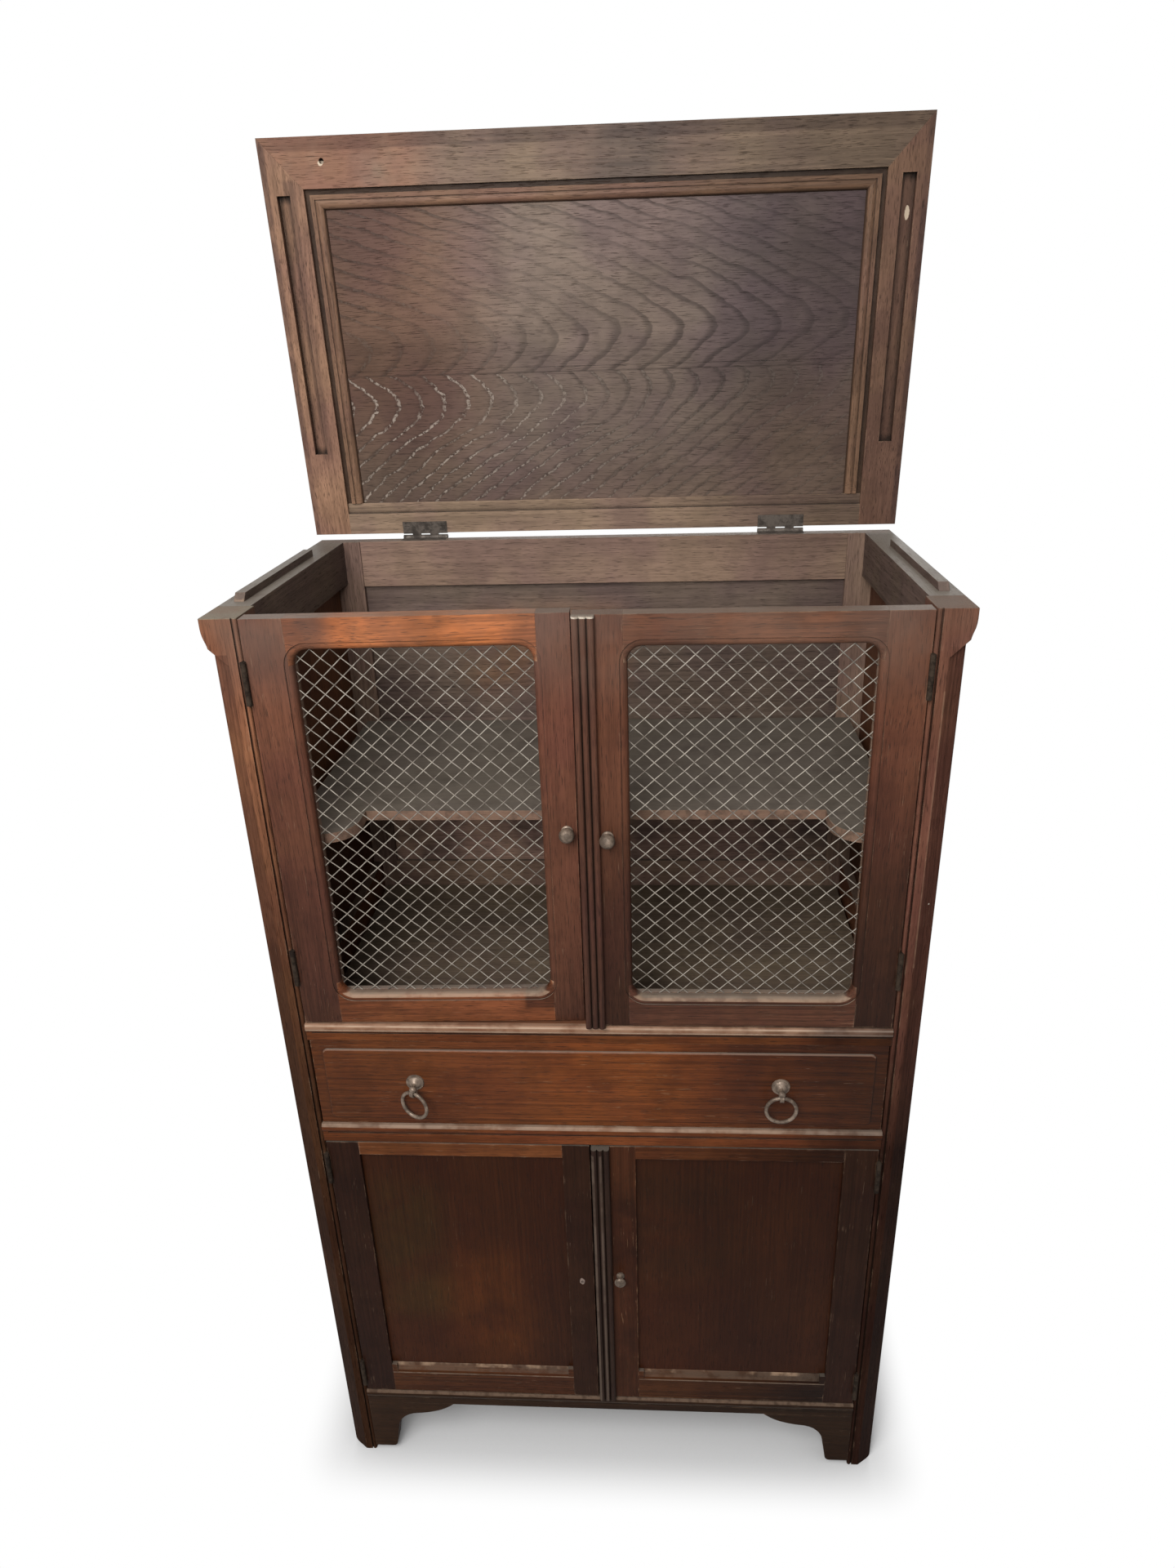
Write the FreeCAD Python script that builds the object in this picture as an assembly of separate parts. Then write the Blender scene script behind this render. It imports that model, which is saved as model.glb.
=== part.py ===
import FreeCAD
import Part
import math
import os

# Oak pie safe: a free-standing cupboard with two wire-mesh doors over a drawer and two panelled doors,
# and a lift-up lid on the top.
# Millimetres. X is to the right, Y to the back, Z up. The solids are built with the posts' front faces
# at y = 0 and the feet at z = 0, and are moved at the end so that the origin is the bottom centre of the
# whole cupboard as it stands, lid open.

V = FreeCAD.Vector

# ---- driving dimensions of the case -------------------------------------------------------------------
case_width = 750.0
case_depth = 424.0
case_height = 1243.0
front_post_width = 33.5
front_post_depth = 52.0
back_post_width = 52.0
back_post_depth = 22.0
post_bead = 5.0
post_quirk = 1.0
post_chamfer_width = 18.5
post_chamfer_depth = 13.0
post_chamfer_below_top = 49.5
post_chamfer_stop_rise = 18.0
foot_rounding = 6.0
flare_reach = 5.0
flare_flat = 10.0
flare_curve = 27.0

side_rail_thickness = 30.0
side_top_rail_height = 55.0
side_middle_rail_height = 150.0
side_middle_rail_above_sill = 5.0
side_bottom_rail_height = 60.0
side_bottom_rail_z = 100.0
back_rail_thickness = 20.0
back_top_rail_height = 60.0
panel_thickness = 8.0
panel_tongue = 6.0
panel_fit = 0.15
side_panel_setback = 9.0
back_panel_setback = 6.0

# ---- front rails --------------------------------------------------------------------------------------
door_sill_top = 757.5
door_sill_height = 23.5
door_sill_back_drop = 12.0
drawer_sill_top = 607.5
drawer_sill_height = 26.5
front_rail_depth = 45.0
bottom_rail_top = 126.8
bottom_rail_height = 25.3
bottom_rail_depth = 20.0
rail_bead_height = 12.0
rail_bead_proud = 2.5
rail_quirk_depth = 2.5
rail_quirk_width = 1.4
rail_quirk_stop = 7.0

# ---- ogee foot brackets -------------------------------------------------------------------------------
bracket_length = 122.5
bracket_lift = 8.5
bracket_toe = 32.0
bracket_thickness = 20.0
bracket_neck_height = 54.0
bracket_shoulder_height = 80.0
bracket_neck_inset = 7.0
bracket_hollow_run = 27.0
bracket_hollow_bow_run = 8.0
bracket_hollow_bow_share = 0.62
bracket_ledge_run = 60.0
bracket_ledge_rise = 7.0
bracket_ledge_bow_run = 44.0
bracket_ledge_bow_rise = 2.5
bracket_tip_bow_run = 72.0
bracket_tip_bow_rise = 13.0

# ---- inside of the case -------------------------------------------------------------------------------
floor_thickness = 12.0
floor_front = 24.0
shelf_top = 989.5
shelf_thickness = 12.0
shelf_front = 94.0
shelf_arm_front = 33.0
shelf_arm_width = 76.5
shelf_arm_corner = 37.0
bearer_width = 14.5
bearer_height = 16.0
runner_width = 29.0
runner_height = 20.0
runner_guide_thickness = 3.0
runner_guide_height = 20.0
board_side_gap = 0.5
cupboard_floor_drop = 1.0

# ---- drawer -------------------------------------------------------------------------------------------
drawer_gap = 1.6
drawer_front_thickness = 20.0
drawer_field_proud = 2.5
drawer_field_side_margin = 13.5
drawer_field_top_margin = 12.0
drawer_field_bottom_margin = 8.5
drawer_field_corner = 7.0
drawer_field_edge = 2.0
drawer_side_thickness = 10.0
drawer_side_height = 84.0
drawer_side_gap = 0.8
drawer_back_drop = 4.0
drawer_lift = 0.3
drawer_box_depth = 330.0
drawer_bottom_thickness = 6.0
drawer_bottom_height = 8.0
drawer_groove_depth = 5.0
drawer_groove_fit = 0.1

# ---- ring pulls ---------------------------------------------------------------------------------------
pull_offset = 218.0
pull_height = 673.7
rosette_radius = 11.0
rosette_rim = 1.8
rosette_dome = 7.0
rosette_dome_radius = 7.0
rosette_rim_round = 0.6
rosette_rim_land = 2.0
rosette_rim_step = 0.4
rosette_dish = 1.2
pull_bore_room = 0.5
pull_pin_radius = 2.0
pull_pin_clearance = 0.05
pull_pin_depth = 6.0
pull_reach = 14.0
pull_ball_radius = 4.2
pull_drop = 5.5
pull_stem_radius = 1.8
eye_outer_radius = 5.0
eye_hole_radius = 3.0
eye_width = 4.6
ring_radius = 17.6
ring_wire_radius = 2.2
left_ring_turn = 24.0

# ---- doors --------------------------------------------------------------------------------------------
door_thickness = 20.0
door_hinge_gap = 1.5
door_end_gap = 2.0
door_top_gap = 1.0
door_meeting_gap = 2.0
astragal_width = 22.5
astragal_left_edge = -9.0
astragal_base = 5.0
astragal_reeds = 3
door_moulding = 8.0
door_quirk = 1.2
door_ovolo = 6.4
door_corner_radius = 16.0
left_door_swing_in = 1.6

upper_hinge_flat = 39.5
upper_left_meeting_flat = 30.0
upper_right_meeting_flat = 23.5
upper_top_flat = 25.5
upper_bottom_flat = 29.0
lower_hinge_flat = 40.5
lower_left_meeting_flat = 34.0
lower_right_meeting_flat = 32.0
lower_top_flat = 19.5
lower_bottom_flat = 35.5
lower_chamfer = 16.0
lower_chamfer_stop = 7.0

mesh_depth = 12.0
mesh_wire = 1.6
mesh_diamond_width = 20.7
mesh_diamond_height = 19.3
mesh_overlap = 5.0
mesh_smallest_cell = 12.0
mesh_fit = 0.3
door_panel_depth = 5.5

left_knob_height = 1004.4
left_knob_offset = 22.2
right_knob_height = 1002.1
right_knob_offset = 21.3
knob_rose_radius = 6.5
knob_rose_thickness = 2.6
knob_neck_radius = 3.4
knob_neck_length = 2.2
knob_ball_radius = 8.3
small_knob_height = 362.0
small_knob_offset = 23.5
small_knob_rose = 5.2
small_knob_neck = 2.4
small_knob_head = 7.2
small_knob_reach = 15.5
spare_hole_offset = 26.5
spare_hole_height = 347.8
spare_hole_radius = 2.2
spare_hole_depth = 9.0

# ---- door hinges --------------------------------------------------------------------------------------
door_hinge_length = 46.0
door_hinge_leaf = 1.5
door_hinge_leaf_depth = 15.0
door_hinge_proud = 3.2
door_leaf_proud = 0.2
door_knuckle_radius = 2.9
door_pin_radius = 1.2
pin_clearance = 0.05
knuckle_gap = 0.3
upper_hinge_low_inset = 77.0
upper_hinge_high_inset = 66.0
lower_hinge_low_inset = 36.7
lower_hinge_high_inset = 39.5
hinge_recess_fit = 0.05

# ---- lid ----------------------------------------------------------------------------------------------
lid_width = 776.0
lid_depth = 459.0
lid_thickness = 20.0
lid_seat = 0.5
lid_open = 86.0
lid_stile = 48.0
lid_front_rail = 53.0
lid_back_rail = 27.0
lid_back_lip = 13.0
lid_back_lip_recess = 4.0
lid_board_recess = 7.0
lid_board_joint = 204.0
lid_board_gap = 0.3
lid_moulding_quirk = 6.0
lid_moulding_fillet = 5.0
lid_moulding_width = 22.0
lid_moulding_top = 1.5
lid_moulding_quirk_floor = 6.0
lid_moulding_foot = 7.0
lid_moulding_step = 1.0
lid_moulding_step_run = 0.8
lid_edge_rounding = 3.0
lid_hinge_offset = 238.0
lid_hinge_length = 60.0
lid_hinge_leaf = 1.6
lid_hinge_leaf_depth = 15.0
lid_hinge_reach = 5.87
lid_knuckle_radius = 3.6
lid_pin_radius = 1.8
lid_leaf_edge = 0.9
screw_head_radius = 3.6
screw_shank_radius = 1.6
screw_shank_length = 10.0
screw_inset = 6.0
screw_row = 9.0
screw_slot_width = 0.8
screw_slot_depth = 0.6
peg_hole_inset = 74.0
peg_hole_from_front = 25.0
peg_hole_radius = 3.0
peg_hole_depth = 8.0

# ---- raised strips on the side rails, and the grooves for them in the lid -----------------------------
strip_outer = 370.0
strip_width = 11.0
strip_height = 8.0
strip_front = 71.0
strip_length = 243.0
strip_end_slope = 8.0
groove_inner = 357.0
groove_width = 16.0
groove_depth = 9.5
groove_start = 105.0
groove_length = 295.0

# ---- places worked out from them ----------------------------------------------------------------------
outer_x = case_width / 2
opening_x = outer_x - front_post_width
back_post_x = outer_x - back_post_width
side_inner_x = outer_x - side_rail_thickness
back_post_y = case_depth - back_post_depth
back_rail_y = case_depth - back_rail_thickness
door_sill_z = door_sill_top - door_sill_height
drawer_sill_z = drawer_sill_top - drawer_sill_height
bottom_rail_z = bottom_rail_top - bottom_rail_height
floor_top = door_sill_z - door_sill_back_drop
floor_z = floor_top - floor_thickness
cupboard_floor_top = bottom_rail_top - cupboard_floor_drop
cupboard_floor_z = cupboard_floor_top - floor_thickness
runner_top = drawer_sill_top
hinge_axis_x = opening_x - door_hinge_gap / 2
hinge_axis_y = -door_hinge_proud
lid_axis_y = case_depth + lid_hinge_reach
lid_axis_z = case_height + lid_seat / 2
lid_z = case_height + lid_seat
middle_rail_z = door_sill_top + side_middle_rail_above_sill - side_middle_rail_height

nodes = {}


# ---- helpers ------------------------------------------------------------------------------------------
def box(x0, x1, y0, y1, z0, z1):
    return Part.makeBox(x1 - x0, y1 - y0, z1 - z0, V(x0, y0, z0))


def on_plane(plane, level, a, b):
    if plane == "xy":
        return V(a, b, level)
    if plane == "xz":
        return V(a, level, b)
    return V(level, a, b)


def outline_face(plane, level, start, steps):
    """A flat face: a step of two numbers is a line to that point, one of four an arc via a point."""
    edges = []
    here = on_plane(plane, level, *start)
    for step in steps + [start]:
        there = on_plane(plane, level, *step[-2:])
        if len(step) == 4:
            edges.append(Part.Arc(here, on_plane(plane, level, *step[:2]), there).toShape())
        elif here.distanceToPoint(there) > 1e-6:
            edges.append(Part.makeLine(here, there))
        here = there
    return Part.Face(Part.Wire(edges))


def prism(plane, low, high, start, steps):
    normal = on_plane(plane, high - low, 0.0, 0.0)
    return outline_face(plane, low, start, steps).extrude(normal)


def rounded_rectangle(x0, x1, z0, z1, radius, y0, y1):
    """A prism along Y with round corners."""
    k = radius * (1 - math.sqrt(0.5))
    steps = [
        (x1 - radius, z0),
        (x1 - k, z0 + k, x1, z0 + radius),
        (x1, z1 - radius),
        (x1 - k, z1 - k, x1 - radius, z1),
        (x0 + radius, z1),
        (x0 + k, z1 - k, x0, z1 - radius),
        (x0, z0 + radius),
        (x0 + k, z0 + k, x0 + radius, z0),
    ]
    return prism("xz", y0, y1, (x0 + radius, z0), steps)


def turned(profile, x, z):
    """A solid of revolution about an axis along Y through (x, z); the profile is (y, radius) points."""
    points = [V(x + radius, y, z) for y, radius in profile]
    face = Part.Face(Part.makePolygon(points + [points[0]]))
    return face.revolve(V(x, 0, z), V(0, 1, 0), 360)


def mirrored(shape):
    return shape.mirror(V(0, 0, 0), V(1, 0, 0))


def pair(shape):
    """A solid on the left and its mirror image on the right."""
    return [shape, mirrored(shape)]


def solid_of(shape):
    return shape.removeSplitter().Solids[0]


def add(name, shapes):
    solids = []
    for shape in shapes:
        solids += shape.Solids
    nodes[name] = solids


# ---- case posts and side frames -----------------------------------------------------------------------
def flare_steps():
    """The S-shaped run of the flare, from the wide top down to the post's outer face."""
    middle_z = case_height - flare_flat - flare_curve / 2
    middle_x = outer_x + flare_reach / 2
    turn = 2 * math.atan2(flare_reach, flare_curve)
    radius = flare_curve / 2 / math.sin(turn)
    bulge_x = radius * (1 - math.cos(turn / 2))
    bulge_z = radius * math.sin(turn / 2)
    top_z = case_height - flare_flat
    end_z = top_z - flare_curve
    return [
        (outer_x + flare_reach, top_z),
        (outer_x + flare_reach - bulge_x, top_z - bulge_z, middle_x, middle_z),
        (outer_x + bulge_x, end_z + bulge_z, outer_x, end_z),
    ]


def flared_bar(inner_x, y0, y1, z0):
    """A right-hand bar along Y whose outer face carries the flare at the top of the case."""
    steps = [(outer_x + flare_reach, case_height)] + flare_steps() + [(outer_x, z0), (inner_x, z0)]
    return prism("xz", y0, y1, (inner_x, case_height), steps)


def side_panel_box(z0, z1, fit):
    """A right-hand side panel, or the slot for it when it grows by a fit."""
    x1 = outer_x - side_panel_setback
    y0 = front_post_depth - panel_tongue
    y1 = back_post_y + panel_tongue
    return box(x1 - panel_thickness - fit, x1 + fit, y0 - fit, y1 + fit, z0 - fit, z1 + fit)


def back_panel_box(z0, z1, fit):
    x1 = back_post_x + panel_tongue
    y0 = back_rail_y + back_panel_setback
    return box(-x1 - fit, x1 + fit, y0 - fit, y0 + panel_thickness + fit, z0 - fit, z1 + fit)


upper_panel_z = (middle_rail_z + side_middle_rail_height - panel_tongue,
                 case_height - side_top_rail_height + panel_tongue)
lower_panel_z = (side_bottom_rail_z + side_bottom_rail_height - panel_tongue,
                 middle_rail_z + panel_tongue)
back_upper_panel_z = (upper_panel_z[0], case_height - back_top_rail_height + panel_tongue)


def panel_slots(make_box):
    return [make_box(*upper_panel_z, panel_fit), make_box(*lower_panel_z, panel_fit)]


def cut_all(shape, tools):
    for tool in tools:
        shape = shape.cut(tool)
    return shape


def front_post():
    """The right-hand front post: a bead on its inner front edge and a chamfer that stops under the flare."""
    bead = post_bead / 2
    post = flared_bar(opening_x, 0.0, front_post_depth, 0.0)
    edge = box(opening_x, opening_x + post_bead + post_quirk, 0.0, bead, 0.0, case_height)
    round_bead = Part.makeCylinder(bead, case_height, V(opening_x + bead, bead, 0))
    post = post.cut(edge.cut(round_bead))
    w = post_chamfer_width
    d = post_chamfer_depth
    z1 = case_height - post_chamfer_below_top
    steps = [
        (outer_x + w, 2 * d),
        (outer_x + w, -d),
        (outer_x - 2 * w, -d),
    ]
    chamfer = prism("xy", -1.0, case_height, (outer_x - w, 0.0), steps)
    rise = post_chamfer_stop_rise
    steps = [
        (outer_x + 2 * w, -2.0),
        (outer_x + 2 * w, z1 + 3 * rise),
        (outer_x - w, z1),
        (outer_x - 3 * w, z1),
    ]
    below_stop = prism("xz", -2 * d, 3 * d, (outer_x - 3 * w, -2.0), steps)
    post = post.cut(chamfer.common(below_stop))
    k = foot_rounding
    toe = box(outer_x - k, outer_x + 1, -1, front_post_depth + 1, -1, k)
    toe = toe.cut(Part.makeCylinder(k, front_post_depth + 2, V(outer_x - k, -1, k), V(0, 1, 0)))
    return post.cut(toe)


def back_post():
    """The right-hand back post, wide across the back."""
    post = flared_bar(back_post_x, back_post_y, case_depth, 0.0)
    return cut_all(post, panel_slots(back_panel_box))


upper_door_z = (door_sill_top + door_end_gap, case_height - door_top_gap)
lower_door_z = (bottom_rail_top + door_end_gap, drawer_sill_z - door_end_gap)
upper_hinge_levels = [upper_door_z[0] + upper_hinge_low_inset, upper_door_z[1] - upper_hinge_high_inset]
lower_hinge_levels = [lower_door_z[0] + lower_hinge_low_inset, lower_door_z[1] - lower_hinge_high_inset]
hinge_levels = upper_hinge_levels + lower_hinge_levels


def leaf_room(x0, x1, z):
    half = door_hinge_length / 2 + hinge_recess_fit
    y1 = door_hinge_leaf_depth + hinge_recess_fit
    return box(x0, x1, -1.0, y1, z - half, z + half)


def build_case():
    post = cut_all(front_post(), panel_slots(side_panel_box))
    for z in hinge_levels:
        depth = door_hinge_leaf - door_leaf_proud
        post = post.cut(leaf_room(opening_x - 1, opening_x + depth, z))
    post = solid_of(post)
    add("right_front_post", [post])
    add("left_front_post", [mirrored(post)])
    post = solid_of(cut_all(back_post(), panel_slots(side_panel_box)))
    add("right_back_post", [post])
    add("left_back_post", [mirrored(post)])

    rail_top = flared_bar(side_inner_x, front_post_depth, back_post_y, case_height - side_top_rail_height)
    rail_top = cut_all(rail_top, panel_slots(side_panel_box))
    add("side_top_rails", pair(solid_of(rail_top)))
    lower_rails = []
    for z0, height in ((middle_rail_z, side_middle_rail_height),
                       (side_bottom_rail_z, side_bottom_rail_height)):
        rail = box(side_inner_x, outer_x, front_post_depth, back_post_y, z0, z0 + height)
        lower_rails += pair(cut_all(rail, panel_slots(side_panel_box)))
    add("side_lower_rails", lower_rails)
    panels = pair(side_panel_box(*upper_panel_z, 0.0)) + pair(side_panel_box(*lower_panel_z, 0.0))
    add("side_panels", panels)

    slope = strip_end_slope
    top = case_height + strip_height
    y0 = strip_front
    y1 = strip_front + strip_length
    strip = prism("yz", strip_outer - strip_width, strip_outer, (y0, case_height),
                  [(y1, case_height), (y1, top), (y0 + slope, top)])
    add("lid_guide_strips", pair(strip))

    back_rails = []
    for z0, z1 in ((case_height - back_top_rail_height, case_height),
                   (middle_rail_z, middle_rail_z + side_middle_rail_height),
                   (side_bottom_rail_z, side_bottom_rail_z + side_bottom_rail_height)):
        rail = box(-back_post_x, back_post_x, back_rail_y, case_depth, z0, z1)
        back_rails.append(cut_all(rail, [back_panel_box(*back_upper_panel_z, panel_fit),
                                         back_panel_box(*lower_panel_z, panel_fit)]))
    for side in (-1, 1):
        room = lid_leaf_room(side * lid_hinge_offset, case_height - lid_hinge_leaf)
        back_rails[0] = back_rails[0].cut(room)
    add("back_rails", back_rails)
    add("back_panels", [back_panel_box(*back_upper_panel_z, 0.0), back_panel_box(*lower_panel_z, 0.0)])


def lid_leaf_room(x, z0):
    """The recess for a lid hinge leaf, one leaf thick, at the rear edge of the wood."""
    half = lid_hinge_length / 2 + hinge_recess_fit
    y0 = case_depth - lid_hinge_leaf_depth - hinge_recess_fit
    return box(x - half, x + half, y0, case_depth + 1.0, z0, z0 + lid_hinge_leaf)


# ---- front rails and feet -----------------------------------------------------------------------------
def beaded_rail(z0, z1, depth, back_drop):
    """A rail between the front posts with a proud half-round bead along its top front edge."""
    bead = rail_bead_height / 2
    centre = z1 - bead
    steps = [
        (depth, z1),
        (0.0, z1),
        (-rail_bead_proud, centre, 0.0, z1 - rail_bead_height),
        (0.0, z0),
        (floor_front - board_side_gap, z0),
        (floor_front - board_side_gap, z0 - back_drop),
    ]
    rail = prism("yz", -opening_x, opening_x, (depth, z0 - back_drop), steps)
    reach = opening_x - rail_quirk_stop
    low = z1 - rail_bead_height
    quirk = box(-reach, reach, -1.0, rail_quirk_depth, low - rail_quirk_width, low)
    return solid_of(rail.cut(quirk))


def foot_bracket():
    """The right-hand ogee bracket, glued under the bottom rail beside the post."""
    x1 = opening_x
    toe = x1 - bracket_toe
    tip = x1 - bracket_length
    top = bottom_rail_z
    k = foot_rounding
    neck_x = toe - bracket_neck_inset
    neck = bracket_neck_height
    shoulder = bracket_shoulder_height
    bow = neck + bracket_hollow_bow_share * (shoulder - neck)
    ledge = shoulder + bracket_ledge_rise
    steps = [
        (x1, bracket_lift),
        (toe + k, bracket_lift),
        (toe + 0.35 * k, bracket_lift + 0.25 * k, toe - 0.1 * k, bracket_lift + k),
        (neck_x, neck),
        (neck_x - bracket_hollow_bow_run, bow, neck_x - bracket_hollow_run, shoulder),
        (neck_x - bracket_ledge_bow_run, shoulder + bracket_ledge_bow_rise,
         neck_x - bracket_ledge_run, ledge),
        (neck_x - bracket_tip_bow_run, shoulder + bracket_tip_bow_rise, tip, top),
    ]
    return prism("xz", 0.0, bracket_thickness, (x1, top), steps)


def build_front():
    add("door_sill_rail", [beaded_rail(door_sill_z, door_sill_top, front_rail_depth, door_sill_back_drop)])
    add("drawer_sill_rail", [beaded_rail(drawer_sill_z, drawer_sill_top, front_rail_depth, 0.0)])
    add("bottom_front_rail", [beaded_rail(bottom_rail_z, bottom_rail_top, bottom_rail_depth, 0.0)])
    add("foot_brackets", pair(foot_bracket()))


# ---- boards and bearers inside ------------------------------------------------------------------------
def bearer(top):
    y1 = back_post_y
    return box(opening_x - bearer_width, opening_x, floor_front, y1, top - bearer_height, top)


def build_inside():
    reach = opening_x - board_side_gap
    back = back_post_y - board_side_gap
    add("compartment_floor", [box(-reach, reach, floor_front, back, floor_z, floor_top)])
    bottom = box(-reach, reach, bottom_rail_depth, back, cupboard_floor_z, cupboard_floor_top)
    add("cupboard_bottom", [bottom])

    arm_x = opening_x - shelf_arm_width
    corner = shelf_arm_corner
    bend = corner * (1 - math.sqrt(0.5))
    corner_y = shelf_arm_front + corner
    steps = [
        (-arm_x - corner, shelf_arm_front),
        (-arm_x - bend, shelf_arm_front + bend, -arm_x, corner_y),
        (-arm_x, shelf_front),
        (arm_x, shelf_front),
        (arm_x, corner_y),
        (arm_x + bend, shelf_arm_front + bend, arm_x + corner, shelf_arm_front),
        (reach, shelf_arm_front),
        (reach, back),
        (-reach, back),
    ]
    shelf = prism("xy", shelf_top - shelf_thickness, shelf_top, (-reach, shelf_arm_front), steps)
    add("shelf", [shelf])

    bearers = []
    for top in (shelf_top - shelf_thickness, floor_z):
        bearers += pair(bearer(top))
    cleat = box(opening_x - bearer_width, opening_x, bottom_rail_depth, back_post_y,
                cupboard_floor_z - bearer_height, cupboard_floor_z)
    add("bearers", bearers + pair(cleat))

    steps = [
        (opening_x, runner_top - runner_height),
        (opening_x, runner_top + runner_guide_height),
        (opening_x - runner_guide_thickness, runner_top + runner_guide_height),
        (opening_x - runner_guide_thickness, runner_top),
        (opening_x - runner_width, runner_top),
    ]
    runner = prism("xz", front_rail_depth, back_post_y,
                   (opening_x - runner_width, runner_top - runner_height), steps)
    add("drawer_runners", pair(runner))


# ---- drawer -------------------------------------------------------------------------------------------
drawer_z = drawer_sill_top + drawer_gap
drawer_top = door_sill_z - drawer_gap
drawer_x = opening_x - drawer_gap
drawer_side_x = opening_x - runner_guide_thickness - drawer_side_gap
drawer_box_z = runner_top + drawer_lift
drawer_back_y = drawer_front_thickness + drawer_box_depth


def build_drawer():
    margin = drawer_field_proud
    front = box(-drawer_x, drawer_x, margin, drawer_front_thickness, drawer_z, drawer_top)
    field_x = drawer_x - drawer_field_side_margin
    field_z = (drawer_z + drawer_field_bottom_margin, drawer_top - drawer_field_top_margin)
    field = rounded_rectangle(-field_x, field_x, *field_z, drawer_field_corner, 0.0, margin + 1.0)
    rim = [e for e in field.Edges if e.BoundBox.YMax < 0.01]
    field = field.makeFillet(drawer_field_edge, rim)
    front = front.fuse(field)
    groove_z = drawer_box_z + drawer_bottom_height
    bottom_x = drawer_side_x - drawer_side_thickness + drawer_groove_depth
    fit = drawer_groove_fit
    groove = box(-bottom_x, bottom_x, drawer_front_thickness - drawer_groove_depth - fit, drawer_back_y + 1,
                 groove_z - fit, groove_z + drawer_bottom_thickness + fit)
    add("drawer_front", [solid_of(front.cut(groove))])

    top = drawer_box_z + drawer_side_height
    side = box(drawer_side_x - drawer_side_thickness, drawer_side_x, drawer_front_thickness, drawer_back_y,
               drawer_box_z, top)
    add("drawer_sides", pair(side.cut(groove)))
    inner = drawer_side_x - drawer_side_thickness
    back_z = groove_z + drawer_bottom_thickness
    back = box(-inner, inner, drawer_back_y - drawer_side_thickness, drawer_back_y,
               back_z, top - drawer_back_drop)
    add("drawer_back", [back])
    bottom = box(-bottom_x, bottom_x, drawer_front_thickness - drawer_groove_depth, drawer_back_y,
                 groove_z, groove_z + drawer_bottom_thickness)
    add("drawer_bottom", [bottom])


def hanging_eye(x, turn):
    """The turned pin that hangs the ring: pin and ball on the rosette's axis, stem and eye below."""
    ball_y = -pull_reach
    start = V(x, ball_y, pull_height)
    pin = Part.makeCylinder(pull_pin_radius, pull_reach + pull_pin_depth, start, V(0, 1, 0))
    ball = Part.makeSphere(pull_ball_radius, start)
    stem_length = pull_drop - eye_hole_radius - eye_hole_radius / 4
    stem = Part.makeCylinder(pull_stem_radius, stem_length, V(x, ball_y, pull_height - stem_length))
    centre = V(x, ball_y, pull_height - pull_drop)
    eye = Part.makeCylinder(eye_outer_radius, eye_width, centre - V(eye_width / 2, 0, 0), V(1, 0, 0))
    hole = Part.makeCylinder(eye_hole_radius, 4 * eye_width, centre - V(2 * eye_width, 0, 0), V(1, 0, 0))
    for piece in (eye, hole):
        piece.rotate(centre, V(0, 0, 1), -turn)
    return solid_of(pin.fuse([ball, stem, eye]).cut(hole))


def pull_ring(x, turn):
    centre = V(x, -pull_reach, pull_height - pull_drop - ring_radius)
    ring = Part.makeTorus(ring_radius, ring_wire_radius, centre, V(0, 1, 0))
    ring.rotate(centre, V(0, 0, 1), -turn)
    return ring


def build_pulls():
    face = 0.0
    bore = pull_pin_radius + pull_pin_clearance
    rim = rosette_rim + rosette_rim_step
    profile = [
        (face, 0.0),
        (face, rosette_radius),
        (face - rosette_rim, rosette_radius - rosette_rim_round),
        (face - rim, rosette_radius - rosette_rim_round - rosette_rim_land),
        (face - rim - rosette_dish, rosette_dome_radius),
        (face - 0.8 * rosette_dome, 0.7 * rosette_dome_radius),
        (face - rosette_dome, 0.5 * rosette_dome_radius),
        (face - rosette_dome, 0.0),
    ]
    rosettes = []
    for x in (-pull_offset, pull_offset):
        start = V(x, face - rosette_dome - 0.5, pull_height)
        hole = Part.makeCylinder(bore, rosette_dome + 1, start, V(0, 1, 0))
        rosettes.append(turned(profile, x, pull_height).cut(hole))
    add("pull_rosettes", rosettes)
    add("left_pull_drop", [hanging_eye(-pull_offset, left_ring_turn)])
    add("right_pull_drop", [hanging_eye(pull_offset, 0.0)])
    add("left_pull_ring", [pull_ring(-pull_offset, left_ring_turn)])
    add("right_pull_ring", [pull_ring(pull_offset, 0.0)])
    front = nodes["drawer_front"][0]
    for x in (-pull_offset, pull_offset):
        depth = pull_pin_depth + pull_bore_room
        front = front.cut(Part.makeCylinder(bore, depth, V(x, face - 0.1, pull_height), V(0, 1, 0)))
    nodes["drawer_front"] = [front.Solids[0]]


# ---- doors --------------------------------------------------------------------------------------------
def clip(points, axis, limit, keep_below):
    """A convex polygon cut off at a line across one axis."""
    kept = []
    for i, a in enumerate(points):
        b = points[(i + 1) % len(points)]
        a_in = (a[axis] <= limit) == keep_below
        b_in = (b[axis] <= limit) == keep_below
        if a_in:
            kept.append(a)
        if a_in != b_in:
            t = (limit - a[axis]) / (b[axis] - a[axis])
            kept.append((a[0] + t * (b[0] - a[0]), a[1] + t * (b[1] - a[1])))
    return kept


def polygon_area(points):
    total = 0.0
    for i, a in enumerate(points):
        b = points[(i + 1) % len(points)]
        total += a[0] * b[1] - b[0] * a[1]
    return abs(total) / 2


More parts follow.
